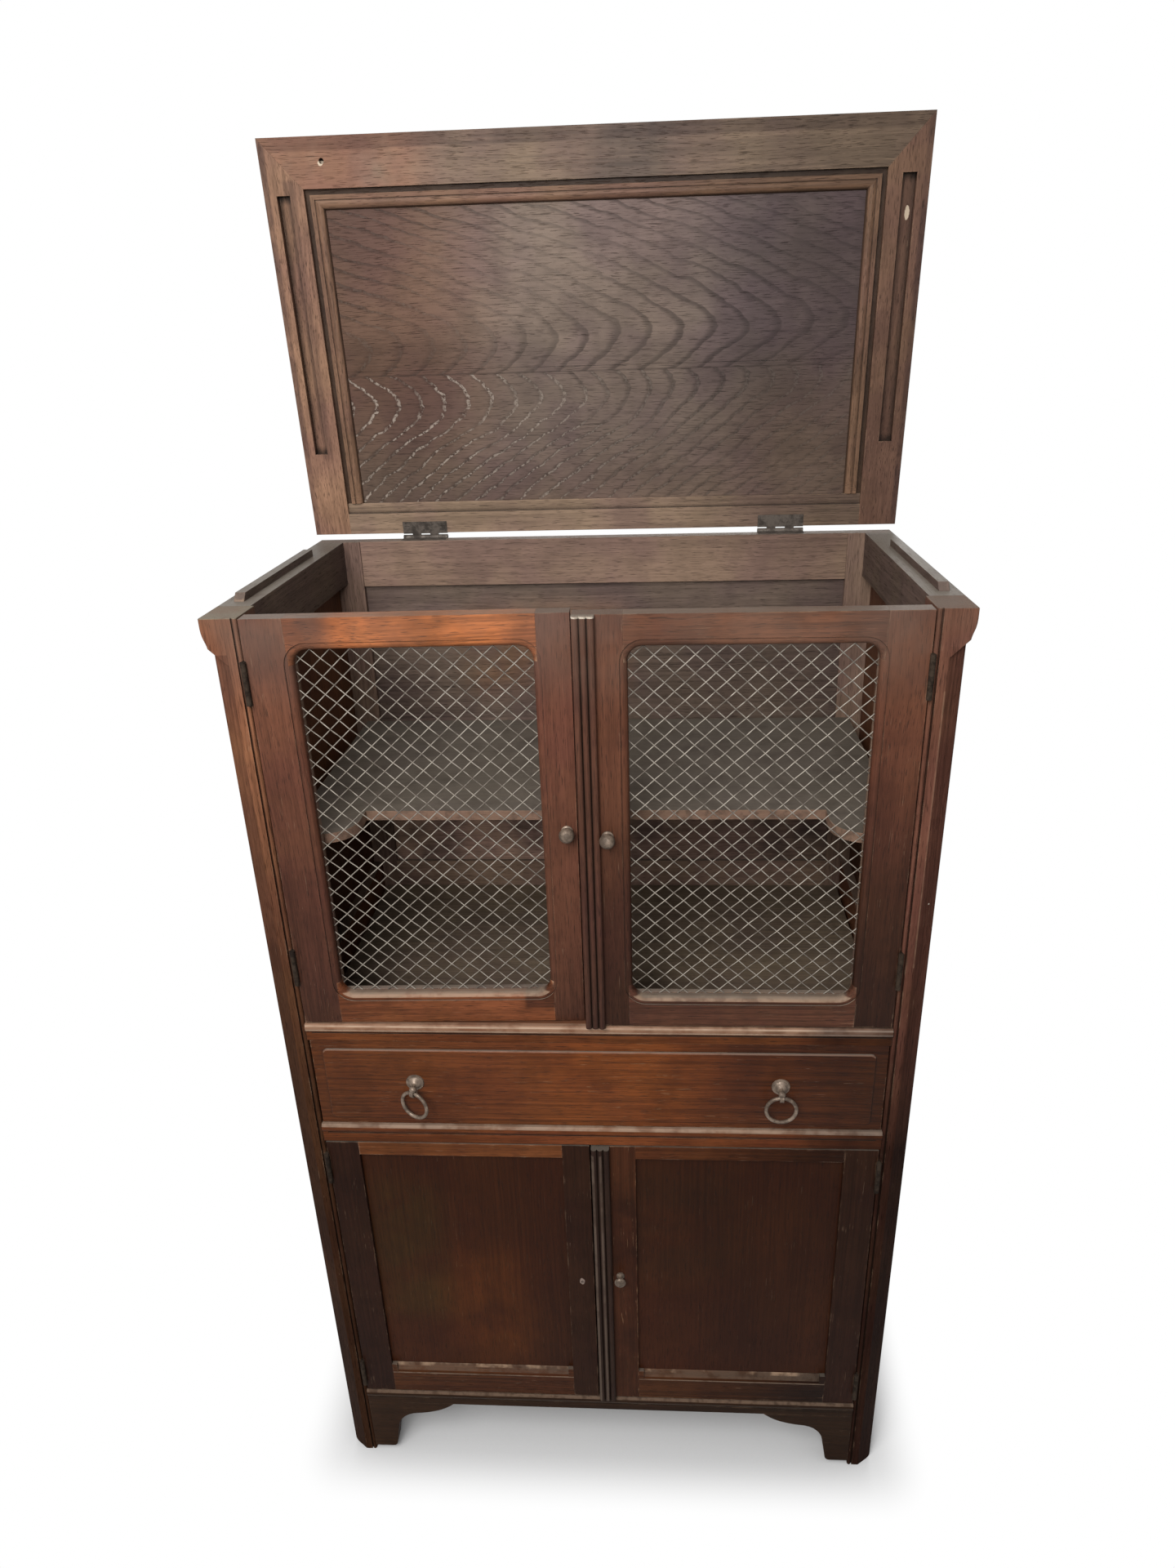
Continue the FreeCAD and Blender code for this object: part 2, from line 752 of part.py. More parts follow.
def wire_mesh(x0, x1, z0, z1):
    """A sheet of diagonal wires: the holes between the wires are diamonds, cut off at the border."""
    border = mesh_wire
    half_w = mesh_diamond_width / 2
    half_h = mesh_diamond_height / 2
    shrink = 1 - mesh_wire / 2 * math.hypot(1 / half_w, 1 / half_h)
    outer = [(x0, z0), (x1, z0), (x1, z1), (x0, z1)]
    holes = []
    rows = int((z1 - z0) / half_h) + 2
    columns = int((x1 - x0) / mesh_diamond_width) + 2
    for row in range(rows):
        for column in range(columns):
            cx = x0 + (column + 0.5 * (row % 2)) * mesh_diamond_width
            cz = z0 + row * half_h
            w = half_w * shrink
            h = half_h * shrink
            cell = [(cx - w, cz), (cx, cz - h), (cx + w, cz), (cx, cz + h)]
            for axis, limit, below in ((0, x0 + border, False), (0, x1 - border, True),
                                       (1, z0 + border, False), (1, z1 - border, True)):
                cell = clip(cell, axis, limit, below)
                if len(cell) < 3:
                    break
            if len(cell) > 2 and polygon_area(cell) > mesh_smallest_cell:
                holes.append(cell)
    wires = []
    for loop in [outer] + holes:
        points = [V(x, mesh_depth, z) for x, z in loop]
        wires.append(Part.makePolygon(points + [points[0]]))
    return Part.Face(wires).extrude(V(0, mesh_wire, 0))


def hang(frame, levels, on_right):
    """Cut the hinge recesses in a door frame: (frame, moving hinge leaves)."""
    edge_x = opening_x - door_hinge_gap
    depth = door_hinge_leaf - door_leaf_proud
    leaves = []
    for z in levels:
        recess = leaf_room(edge_x - depth, edge_x + 1.0, z)
        leaf = door_hinge_moving_leaf(z)
        if not on_right:
            recess = mirrored(recess)
            leaf = mirrored(leaf)
        frame = frame.cut(recess)
        leaves.append(leaf)
    return frame, leaves


def split_frame(frame, joints, corner_z, on_right):
    """Stiles run the full height and take the frame between two joint lines and, past them, its corners."""
    low = frame.BoundBox
    reach = case_width
    left = box(-reach, joints[0], low.YMin - 1, low.YMax + 1, low.ZMin - 1, low.ZMax + 1)
    right = box(joints[1], reach, low.YMin - 1, low.YMax + 1, low.ZMin - 1, low.ZMax + 1)
    if corner_z:
        middle = (joints[0] + joints[1]) / 2
        left = left.fuse(box(-reach, middle, low.YMin - 1, low.YMax + 1, *corner_z))
        right = right.fuse(box(middle, reach, low.YMin - 1, low.YMax + 1, *corner_z))
    hinge_side, meeting_side = (right, left) if on_right else (left, right)
    stiles = [solid_of(frame.common(hinge_side)), solid_of(frame.common(meeting_side))]
    rails = [solid_of(piece) for piece in frame.cut(left).cut(right).Solids]
    return stiles, rails


def meshed_door(x0, x1, flat_left, flat_right, on_right):
    """An upper door, closed: a frame with a moulded round-cornered opening, wire mesh and beads behind it."""
    z0, z1 = upper_door_z
    m = door_moulding
    r = door_corner_radius
    t = door_thickness
    inner = (x0 + flat_left + m, x1 - flat_right - m, z0 + upper_bottom_flat + m, z1 - upper_top_flat - m)
    outer = (inner[0] - m, inner[1] + m, inner[2] - m, inner[3] + m)
    frame = box(x0, x1, 0.0, t, z0, z1)
    frame = frame.cut(rounded_rectangle(*outer, r + m, -1.0, door_quirk))
    opening = rounded_rectangle(*inner, r, door_quirk - 1.0, t + 1.0)
    frame = frame.cut(opening)
    edges = []
    for e in frame.Edges:
        b = e.BoundBox
        level = b.YMin > door_quirk - 0.01 and b.YMax < door_quirk + 0.01
        within = b.XMin > inner[0] - 0.01 and b.XMax < inner[1] + 0.01
        if level and within and b.ZMin > inner[2] - 0.01 and b.ZMax < inner[3] + 0.01:
            edges.append(e)
    frame = frame.makeFillet(door_ovolo, edges)
    lap = mesh_overlap
    room = (inner[0] - lap, inner[1] + lap, inner[2] - lap, inner[3] + lap)
    frame = frame.cut(box(room[0], room[1], mesh_depth, t + 1, room[2], room[3]))
    e = mesh_fit
    sheet = wire_mesh(room[0] + e, room[1] - e, room[2] + e, room[3] - e)
    y0 = mesh_depth + mesh_wire
    beads = []
    for bx0, bx1 in ((room[0], inner[0]), (inner[1], room[1])):
        beads.append(box(bx0, bx1, y0, t, room[2], room[3]))
    for bz0, bz1 in ((room[2], inner[2]), (inner[3], room[3])):
        beads.append(box(inner[0], inner[1], y0, t, bz0, bz1))
    frame, leaves = hang(frame, upper_hinge_levels, on_right)
    joints = (x0 + flat_left + m / 2, x1 - flat_right - m / 2)
    stiles, rails = split_frame(frame, joints, (inner[2] + r, inner[3] - r), on_right)
    return {"stiles": stiles, "rails": rails, "mesh": [sheet], "mesh_beads": beads, "hinge_leaves": leaves}


def panelled_door(x0, x1, flat_left, flat_right, on_right):
    """A lower door, closed: a square-edged frame with a stopped chamfer along its bottom rail."""
    z0, z1 = lower_door_z
    t = door_thickness
    chamfer_z = z0 + lower_bottom_flat
    inner = (x0 + flat_left, x1 - flat_right, chamfer_z + lower_chamfer, z1 - lower_top_flat)
    frame = box(x0, x1, 0.0, t, z0, z1)
    frame = frame.cut(box(inner[0], inner[1], -1.0, t + 1, inner[2], inner[3]))
    y0 = door_panel_depth
    wedge = prism("yz", inner[0], inner[1], (-1.0, chamfer_z - lower_chamfer / y0),
                  [(y0, inner[2]), (y0, inner[2] + 1), (-1.0, inner[2] + 1)])
    stop = lower_chamfer_stop
    plan = rounded_rectangle(inner[0] + stop, inner[1] - stop, chamfer_z - lower_chamfer, inner[2] + 2 * stop,
                             lower_chamfer, -1.0, y0)
    frame = frame.cut(wedge.common(plan))
    lap = panel_tongue
    e = panel_fit
    y1 = y0 + panel_thickness
    groove = box(inner[0] - lap - e, inner[1] + lap + e, y0 - e, y1 + e,
                 inner[2] - lap - e, inner[3] + lap + e)
    frame = frame.cut(groove)
    panel = box(inner[0] - lap, inner[1] + lap, y0, y1, inner[2] - lap, inner[3] + lap)
    frame, leaves = hang(frame, lower_hinge_levels, on_right)
    stiles, rails = split_frame(frame, (inner[0], inner[1]), None, on_right)
    return {"stiles": stiles, "rails": rails, "panel": [panel], "hinge_leaves": leaves}


def door_hinge_leaf_solid(z, x0, x1, segments, bore):
    """One right-hand door hinge leaf: a plate and the knuckles of the given thirds of its height."""
    half = door_hinge_length / 2
    third = door_hinge_length / 3
    leaf = box(x0, x1, 0.0, door_hinge_leaf_depth, z - half, z + half)
    for i in segments:
        z0 = z - half + i * third + (knuckle_gap / 2 if i > 0 else 0.0)
        length = third - (knuckle_gap if i == 1 else knuckle_gap / 2)
        start = V(hinge_axis_x, hinge_axis_y, z0)
        barrel = Part.makeCylinder(door_knuckle_radius, length, start)
        neck = box(x0, x1, hinge_axis_y, door_leaf_proud, z0, z0 + length)
        leaf = leaf.fuse([barrel, neck])
        leaf = leaf.cut(Part.makeCylinder(bore, length + 2, start - V(0, 0, 1)))
    return solid_of(leaf)


def door_hinge_moving_leaf(z):
    x1 = opening_x - door_hinge_gap + door_leaf_proud
    bore = door_pin_radius + pin_clearance
    return door_hinge_leaf_solid(z, x1 - door_hinge_leaf, x1, [1], bore)


def door_hinge_fixed_leaf(z):
    x0 = opening_x - door_leaf_proud
    return door_hinge_leaf_solid(z, x0, x0 + door_hinge_leaf, [0, 2], door_pin_radius)


def astragal(z0, z1):
    """A strip with round reeds planted on the meeting stile; its back lies on the door."""
    reed = astragal_width / astragal_reeds
    steps = []
    x = astragal_left_edge
    for _ in range(astragal_reeds):
        steps.append((x + reed / 2, -astragal_base - reed / 2, x + reed, -astragal_base))
        x += reed
    steps.append((x, 0.0))
    steps.append((astragal_left_edge, 0.0))
    return prism("xy", z0, z1, (astragal_left_edge, -astragal_base), steps)


def ball_knob(x, z):
    """A ball on a short neck over a round rose."""
    rose = knob_rose_radius
    depth = knob_rose_thickness
    neck = knob_neck_radius
    end = depth + knob_neck_length
    centre = end + 0.8 * knob_ball_radius
    profile = [(0.0, 0.0), (0.0, rose), (-0.5 * depth, rose), (-depth, 0.7 * rose), (-depth, neck),
               (-end, neck), (-centre, neck), (-centre, 0.0)]
    return solid_of(turned(profile, x, z).fuse(Part.makeSphere(knob_ball_radius, V(x, -centre, z))))


def mushroom_knob(x, z):
    """A small knob: a low rose, a waisted neck and a flattened head."""
    rose = small_knob_rose
    neck = small_knob_neck
    head = small_knob_head
    reach = small_knob_reach
    profile = [(0.0, 0.0), (0.0, rose), (-0.1 * reach, rose), (-0.18 * reach, 0.6 * rose),
               (-0.3 * reach, neck), (-0.5 * reach, neck), (-0.62 * reach, 0.75 * head), (-0.7 * reach, head),
               (-0.82 * reach, head), (-0.93 * reach, 0.8 * head), (-reach, 0.45 * head), (-reach, 0.0)]
    return turned(profile, x, z)


def build_doors():
    left_edge = -opening_x + door_hinge_gap
    right_edge = opening_x - door_hinge_gap
    left_meeting = astragal_left_edge - door_meeting_gap
    lap = astragal_width

    pieces = meshed_door(left_edge, left_meeting, upper_hinge_flat, upper_left_meeting_flat, False)
    pieces["knob"] = [ball_knob(-left_knob_offset, left_knob_height)]
    for name, shapes in pieces.items():
        for shape in shapes:
            shape.rotate(V(-hinge_axis_x, hinge_axis_y, 0), V(0, 0, 1), left_door_swing_in)
        add("upper_left_door_" + name, shapes)

    pieces = meshed_door(astragal_left_edge, right_edge, lap + upper_right_meeting_flat,
                         upper_hinge_flat, True)
    pieces["knob"] = [ball_knob(right_knob_offset, right_knob_height)]
    pieces["astragal"] = [astragal(*upper_door_z)]
    for name, shapes in pieces.items():
        add("upper_right_door_" + name, shapes)

    pieces = panelled_door(left_edge, left_meeting, lower_hinge_flat, lower_left_meeting_flat, False)
    hole = Part.makeCylinder(spare_hole_radius, spare_hole_depth + 1,
                             V(-spare_hole_offset, -1, spare_hole_height), V(0, 1, 0))
    pieces["stiles"][1] = pieces["stiles"][1].cut(hole)
    for name, shapes in pieces.items():
        add("lower_left_door_" + name, shapes)

    pieces = panelled_door(astragal_left_edge, right_edge, lap + lower_right_meeting_flat,
                           lower_hinge_flat, True)
    pieces["knob"] = [mushroom_knob(small_knob_offset, small_knob_height)]
    pieces["astragal"] = [astragal(*lower_door_z)]
    for name, shapes in pieces.items():
        add("lower_right_door_" + name, shapes)

    fixed = []
    pins = []
    for z in hinge_levels:
        fixed += pair(door_hinge_fixed_leaf(z))
        start = V(hinge_axis_x, hinge_axis_y, z - door_hinge_length / 2)
        pins += pair(Part.makeCylinder(door_pin_radius, door_hinge_length, start))
    for side in (-1, 1):
        start = V(side * lid_hinge_offset - lid_hinge_length / 2, lid_axis_y, lid_axis_z)
        pins.append(Part.makeCylinder(lid_pin_radius, lid_hinge_length, start, V(1, 0, 0)))
    add("post_hinge_leaves", fixed)
    add("hinge_pins", pins)


# ---- lid ----------------------------------------------------------------------------------------------
def lid_hinge_leaf_solid(x, z0, segments, bore):
    """One lid hinge leaf: a flat plate and the knuckles of the given fifths of its length."""
    half = lid_hinge_length / 2
    fifth = lid_hinge_length / 5
    y0 = case_depth - lid_hinge_leaf_depth
    y1 = case_depth + lid_leaf_edge
    leaf = box(x - half, x + half, y0, y1, z0, z0 + lid_hinge_leaf)
    for i in segments:
        x0 = x - half + i * fifth + (knuckle_gap / 2 if i > 0 else 0.0)
        length = fifth - (knuckle_gap if 0 < i < 4 else knuckle_gap / 2)
        start = V(x0, lid_axis_y, lid_axis_z)
        barrel = Part.makeCylinder(lid_knuckle_radius, length, start, V(1, 0, 0))
        neck = box(x0, x0 + length, y1 - 0.5, lid_axis_y, z0, z0 + lid_hinge_leaf)
        leaf = leaf.fuse([barrel, neck])
        leaf = leaf.cut(Part.makeCylinder(bore, length + 2, start - V(1, 0, 0), V(1, 0, 0)))
    return solid_of(leaf)


def lid_moulding_profile():
    """(distance from the frame, depth from the lid's underside) of the applied moulding."""
    q = lid_moulding_quirk
    f = q + lid_moulding_fillet
    w = lid_moulding_width
    top = lid_moulding_top
    foot = lid_moulding_foot
    return (0.0, lid_board_recess), [
        (0.0, lid_moulding_quirk_floor),
        (q, lid_moulding_quirk_floor),
        (q, top),
        (f, top),
        (f, top + lid_moulding_step),
        (f + lid_moulding_step_run, top + lid_moulding_step),
        (f + 0.72 * (w - f), top + 0.25 * (foot - top), w, foot),
        (w, lid_board_recess),
    ]


def build_lid():
    half = lid_width / 2
    inner = half - lid_stile
    back = case_depth
    front = case_depth - lid_depth
    inner_front = front + lid_front_rail
    lip_y = back - lid_back_rail
    board_y = lip_y - lid_back_lip
    z0 = lid_z
    z1 = lid_z + lid_thickness
    board_z = lid_z + lid_board_recess

    edge = lid_edge_rounding
    bend = edge * (1 - math.sqrt(0.5))
    stile = prism("xy", z0, z1, (inner, back), [(half, back), (half, front), (inner, inner_front)])
    rounded = [(half, z0), (half, z1 - edge), (half - bend, z1 - bend, half - edge, z1), (inner, z1)]
    stile = stile.common(prism("xz", front, back, (inner, z0), rounded))
    rail_front = prism("xy", z0, z1, (-half, front),
                       [(half, front), (inner, inner_front), (-inner, inner_front)])
    rounded = [(front, z0), (front, z1 - edge), (front + bend, z1 - bend, front + edge, z1),
               (inner_front, z1)]
    rail_front = rail_front.common(prism("yz", -half, half, (inner_front, z0), rounded))
    rail_back = box(-inner, inner, lip_y, back, z0, z1)
    lip = box(-inner, inner, board_y, lip_y, z0 + lid_back_lip_recess, z1)
    rail_back = rail_back.fuse(lip)

    groove_y = back - groove_start
    groove = box(groove_inner, groove_inner + groove_width, groove_y - groove_length, groove_y,
                 z0 - 1, z0 + groove_depth)
    hole = Part.makeCylinder(peg_hole_radius, peg_hole_depth + 1,
                             V(-half + peg_hole_inset, front + peg_hole_from_front, z0 - 1))
    rail_front = rail_front.cut(hole)
    for side in (-1, 1):
        rail_back = rail_back.cut(lid_leaf_room(side * lid_hinge_offset, z0))
        for screw_side in (-1, 1):
            x = side * lid_hinge_offset + screw_side * (lid_hinge_length / 2 - screw_inset)
            start = V(x, case_depth - screw_row, z0 + lid_hinge_leaf)
            rail_back = rail_back.cut(Part.makeCylinder(screw_shank_radius, screw_shank_length, start))
    stile = solid_of(stile.cut(groove))
    pieces = {
        "lid_stiles": pair(stile),
        "lid_rails": [solid_of(rail_front), solid_of(rail_back)],
        "lid_boards": [
            box(-inner, inner, back - lid_board_joint + lid_board_gap, board_y, board_z, z1),
            box(-inner, inner, inner_front, back - lid_board_joint, board_z, z1),
        ],
    }

    start, steps = lid_moulding_profile()
    w = lid_moulding_width

    def placed(sign, base, level):
        first = (base + sign * start[0], level + start[1])
        rest = []
        for step in steps:
            moved = []
            for i in range(0, len(step), 2):
                moved += [base + sign * step[i], level + step[i + 1]]
            rest.append(tuple(moved))
        return first, rest

    side_run = prism("xz", inner_front, board_y, *placed(-1, inner, z0))
    side_plan = prism("xy", z0, z1, (inner, board_y),
                      [(inner - w, board_y), (inner - w, inner_front + w), (inner, inner_front)])
    front_run = prism("yz", -inner, inner, *placed(1, inner_front, z0))
    front_plan = prism("xy", z0, z1, (-inner, inner_front),
                       [(inner, inner_front), (inner - w, inner_front + w), (-inner + w, inner_front + w)])
    mouldings = pair(solid_of(side_run.common(side_plan))) + [solid_of(front_run.common(front_plan))]
    pieces["lid_mouldings"] = mouldings

    leaves = []
    screws = []
    for side in (-1, 1):
        leaf = lid_hinge_leaf_solid(side * lid_hinge_offset, z0, [1, 3], lid_pin_radius + pin_clearance)
        for screw_side in (-1, 1):
            x = side * lid_hinge_offset + screw_side * (lid_hinge_length / 2 - screw_inset)
            centre = V(x, case_depth - screw_row, z0)
            head = Part.makeCone(screw_head_radius, screw_shank_radius, lid_hinge_leaf, centre)
            shank = Part.makeCylinder(screw_shank_radius, screw_shank_length + lid_hinge_leaf, centre)
            screw = solid_of(head.fuse(shank))
            leaf = leaf.cut(screw)
            slot_y = centre.y - screw_slot_width / 2
            slot = box(x - screw_head_radius, x + screw_head_radius, slot_y, slot_y + screw_slot_width,
                       z0 - screw_slot_depth, z0 + screw_slot_depth)
            screws.append(screw.cut(slot))
        leaves.append(solid_of(leaf))
    pieces["lid_hinge_leaves"] = leaves
    pieces["lid_hinge_screws"] = screws

    for name, shapes in pieces.items():
        for shape in shapes:
            shape.rotate(V(0, lid_axis_y, lid_axis_z), V(-1, 0, 0), lid_open)
        add(name, shapes)

    fixed = []
    for side in (-1, 1):
        fixed.append(lid_hinge_leaf_solid(side * lid_hinge_offset, case_height - lid_hinge_leaf,
                                          [0, 2, 4], lid_pin_radius))
    add("lid_hinge_back_leaves", fixed)


def origin_shift():
    """How far the solids move along Y so that the origin is the middle of the whole depth."""
    turn = math.radians(left_ring_turn)
    front = pull_reach + ring_radius * math.sin(turn) + ring_wire_radius
    lean = math.radians(lid_open)
    top = lid_seat / 2 + lid_thickness
    back = lid_axis_y - lid_hinge_reach * math.cos(lean) + top * math.sin(lean)
    return V(0, -(back - front) / 2, 0)


build_case()
build_front()
build_inside()
build_drawer()
build_pulls()
build_doors()
build_lid()

os.makedirs("parts", exist_ok=True)
shift = origin_shift()
for name, solids in nodes.items():
    shape = solids[0] if len(solids) == 1 else Part.makeCompound(solids)
    shape.translate(shift)
    shape.exportStep("parts/" + name + ".step")

print("nodes", len(nodes), "origin shift", round(shift.y, 4))
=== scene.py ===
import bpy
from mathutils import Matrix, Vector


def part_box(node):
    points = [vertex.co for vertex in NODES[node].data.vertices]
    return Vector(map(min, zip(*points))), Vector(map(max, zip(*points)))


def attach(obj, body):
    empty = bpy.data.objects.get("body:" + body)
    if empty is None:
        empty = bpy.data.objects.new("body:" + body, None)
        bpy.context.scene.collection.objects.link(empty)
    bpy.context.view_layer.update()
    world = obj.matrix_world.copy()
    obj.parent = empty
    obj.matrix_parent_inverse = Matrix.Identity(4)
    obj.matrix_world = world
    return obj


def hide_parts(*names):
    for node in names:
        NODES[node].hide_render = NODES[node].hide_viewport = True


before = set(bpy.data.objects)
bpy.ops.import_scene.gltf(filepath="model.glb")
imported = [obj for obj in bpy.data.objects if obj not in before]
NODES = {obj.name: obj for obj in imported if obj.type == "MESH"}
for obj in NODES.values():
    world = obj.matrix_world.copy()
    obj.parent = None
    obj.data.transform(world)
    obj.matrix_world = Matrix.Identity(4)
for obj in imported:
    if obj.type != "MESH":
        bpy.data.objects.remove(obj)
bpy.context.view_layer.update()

import math
from typing import NamedTuple

import bmesh
import bpy
from mathutils import Matrix, Vector

# A dark oak pie safe. The CAD pieces keep their shapes and get procedural coats, and woven wires take the
# place of the two mesh sheets. Lengths are in metres in the part's frame: +X right, +Y back, +Z up.
FRONT_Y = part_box("left_front_post")[0][1]      # the plane of the posts' front faces
CASE_SIDE = 0.375                              # the case's half width
MM = 0.001
X, Y, Z = range(3)
WHITE = (1.0, 1.0, 1.0)


# ---- node trees ---------------------------------------------------------------------------------------
class Graph:
    """Builds the nodes of one tree. A value is a number, a tuple or another node's output socket."""

    def __init__(self, node_tree):
        self.nodes = node_tree.nodes
        self.links = node_tree.links
        self.nodes.clear()

    def add(self, kind, **settings):
        node = self.nodes.new(kind)
        for key, value in settings.items():
            setattr(node, key, value)
        return node

    def put(self, socket, value):
        if isinstance(value, bpy.types.NodeSocket):
            self.links.new(value, socket)
        elif socket.type == "RGBA":
            socket.default_value = (*value, 1.0)
        else:
            socket.default_value = value

    def math(self, operation, a, b=0.0, c=0.0):
        node = self.add("ShaderNodeMath", operation=operation)
        for socket, value in zip(node.inputs, (a, b, c)):
            self.put(socket, value)
        return node.outputs[0]

    def times(self, a, b):
        return self.math("MULTIPLY", a, b)

    def plus(self, a, b):
        return self.math("ADD", a, b)

    def swing(self, noise, width):
        """A noise as an offset of up to half a width either way."""
        return self.math("MULTIPLY_ADD", noise, width, -width / 2)

    def vector(self, operation, a, b=(0.0, 0.0, 0.0)):
        node = self.add("ShaderNodeVectorMath", operation=operation)
        self.put(node.inputs[0], a)
        self.put(node.inputs[1], b)
        return node.outputs["Value" if operation == "LENGTH" else "Vector"]

    def span(self, value, low, high, to_low=0.0, to_high=1.0, smooth=True):
        """Maps low..high to to_low..to_high, and stays at the ends outside."""
        node = self.add("ShaderNodeMapRange", interpolation_type="SMOOTHSTEP" if smooth else "LINEAR")
        self.put(node.inputs["Value"], value)
        for key, number in (("From Min", low), ("From Max", high), ("To Min", to_low), ("To Max", to_high)):
            node.inputs[key].default_value = number
        return node.outputs["Result"]

    def mix(self, factor, a, b, blend="MIX"):
        """The colour a where the factor is 0, b where it is 1."""
        node = self.add("ShaderNodeMix", data_type="RGBA", blend_type=blend)
        for index, value in ((0, factor), (6, a), (7, b)):
            self.put(node.inputs[index], value)
        return node.outputs[2]

    def tint(self, colour, by, amount=1.0):
        return self.mix(amount, colour, by, "MULTIPLY")

    def mix_value(self, factor, a, b):
        """The number a where the factor is 0, b where it is 1."""
        node = self.add("ShaderNodeMix", data_type="FLOAT")
        for index, value in ((0, factor), (2, a), (3, b)):
            self.put(node.inputs[index], value)
        return node.outputs[0]

    def grey(self, value):
        node = self.add("ShaderNodeCombineColor")
        for socket in node.inputs:
            self.put(socket, value)
        return node.outputs[0]

    def shader(self, kind, **values):
        """A shader node with its sockets set by name, with _ for a space."""
        node = self.add(kind)
        for key, value in values.items():
            self.put(node.inputs[key.replace("_", " ")], value)
        return node.outputs[0]

    def mix_shader(self, factor, a, b):
        node = self.add("ShaderNodeMixShader")
        for socket, value in zip(node.inputs, (factor, a, b)):
            self.put(socket, value)
        return node.outputs[0]

    def backdrop_rays(self):
        """1 for the rays that show a backdrop as it is: camera, glossy and transmission rays."""
        rays = self.add("ShaderNodeLightPath").outputs
        seen = self.math("MAXIMUM", rays["Is Camera Ray"], rays["Is Glossy Ray"])
        return self.math("MAXIMUM", seen, rays["Is Transmission Ray"])


class MaterialGraph(Graph):
    """A material's tree, with its textures in the part's own place."""

    def __init__(self, name):
        self.material = bpy.data.materials.new(name)
        self.material.use_nodes = True
        super().__init__(self.material.node_tree)
        coordinates = self.add("ShaderNodeTexCoord")
        self.place = coordinates.outputs["Object"]
        self.own_normal = coordinates.outputs["Normal"]
        self.normal = self.add("ShaderNodeNewGeometry").outputs["True Normal"]
        self.ring_lines = None                 # arches() sets it and chalk_in_rings() reads it

    def stretch(self, scale, offset, source=None):
        node = self.add("ShaderNodeMapping")
        self.put(node.inputs["Vector"], source or self.place)
        node.inputs["Scale"].default_value = scale
        node.inputs["Location"].default_value = offset
        return node.outputs["Vector"]

    def axis(self, index, source=None):
        node = self.add("ShaderNodeSeparateXYZ")
        self.put(node.inputs[0], source or self.place)
        return node.outputs[index]

    def z_as_x(self):
        """The place with its X and Z swapped."""
        node = self.add("ShaderNodeCombineXYZ")
        for socket, index in zip(node.inputs, (Z, Y, X)):
            self.put(socket, self.axis(index))
        return node.outputs[0]

    def noise(self, source, scale=1.0, detail=2.0, rough=0.5):
        node = self.add("ShaderNodeTexNoise")
        self.put(node.inputs["Vector"], source)
        node.inputs["Scale"].default_value = scale
        node.inputs["Detail"].default_value = detail
        node.inputs["Roughness"].default_value = rough
        return node.outputs["Fac"]

    def even_noise(self, shift, scale, detail=3.0, rough=0.65):
        """Noise that is alike in every direction."""
        return self.noise(self.stretch((1.0, 1.0, 1.0), shift), scale, detail, rough)

    def bump(self, height, distance, strength, normal=None):
        node = self.add("ShaderNodeBump")
        node.inputs["Strength"].default_value = strength
        node.inputs["Distance"].default_value = distance
        self.put(node.inputs["Height"], height)
        if normal is not None:
            self.put(node.inputs["Normal"], normal)
        return node.outputs["Normal"]

    def rounded_normal(self, radius):
        node = self.add("ShaderNodeBevel", samples=4)
        node.inputs["Radius"].default_value = radius
        return node.outputs["Normal"]

    def hollow(self, distance, inside=False):
        """1 deep in a corner (or, inside, 1 on an arris), 0 out in the open."""
        node = self.add("ShaderNodeAmbientOcclusion", samples=4, inside=inside, only_local=True)
        node.inputs["Distance"].default_value = distance
        return self.math("SUBTRACT", 1.0, node.outputs["AO"])

    def surface(self, shader):
        """Ends the tree with a shader and gives the material."""
        self.put(self.add("ShaderNodeOutputMaterial").inputs["Surface"], shader)
        return self.material

    def finish(self, colour, roughness, normal, specular, metallic=0.0):
        return self.surface(self.shader("ShaderNodeBsdfPrincipled", Base_Color=colour, Roughness=roughness,
                                        Normal=normal, Specular_IOR_Level=specular, Metallic=metallic))


# ---- oak ----------------------------------------------------------------------------------------------
RAW_OAK = (0.40, 0.27, 0.18)
PALE_WEAR = (0.34, 0.205, 0.145)
DUST = (0.115, 0.102, 0.086)
# dirt in pores and joints, and also the painted shade in corners
GRIME_AND_SHADE = (0.012, 0.008, 0.006)
CHALK = (0.52, 0.47, 0.40)
OLD_FILLER = (0.34, 0.29, 0.25)
# painted shade in the lid moulding's quirk and in its corner with the boards
MOULDING_SHADE = (0.018, 0.011, 0.008)
FADED_OAK = (0.105, 0.074, 0.060)
COOL_STAIN = (0.91, 0.87, 0.93)
WARM_STAIN = (1.07, 1.08, 1.03)

# A noise lies around 0.5 and mostly between 0.3 and 0.7: the span() of it says how much of it shows.
# Textures that run with the grain: features per metre along it and across it.
WANDER = (3.0, 9.0)
STREAKS = (3.0, 300.0)
FINE_LINES = (16.0, 640.0)
PORES = (60.0, 1300.0)
CLOUDS = (2.2, 7.0)
SCRATCHES = (22.0, 900.0)
# Textures that are alike in every direction: features per metre.
BLOTCHES = 24.0
STAINS = 9.0
RUBS = 34.0

GRAIN_SWAY = 0.016          # the width over which the grain wanders sideways
LIGHT_GRAIN = 0.45          # how much lighter and darker than the middle colour the grain is
DARK_GRAIN = 0.58
CORNER_SHADE_REACH = 0.010         # how far the painted shade reaches out of a corner
ARRIS_REACH = 0.0035        # how wide an arris is worn
ARRIS_RADIUS = 0.0009
GRAIN_DEPTH = 0.00035
ROUGH_SPREAD = 0.22         # how much an oak coat's roughness differs from place to place
PORE_ROUGH = 0.18           # how much rougher its pores are


class PaintedShading(NamedTuple):
    """Painted light and shade: how bright a coat is painted at its bottom, left and right, where its top and
    middle are 1, as the light falls on the case.
    """
    low: float = 1.0
    heights: tuple = (0.0, 1.2)                # up to where it is low, and from where on it is 1
    curve: float = 1.0
    left: float = 1.0
    right: float = 1.0


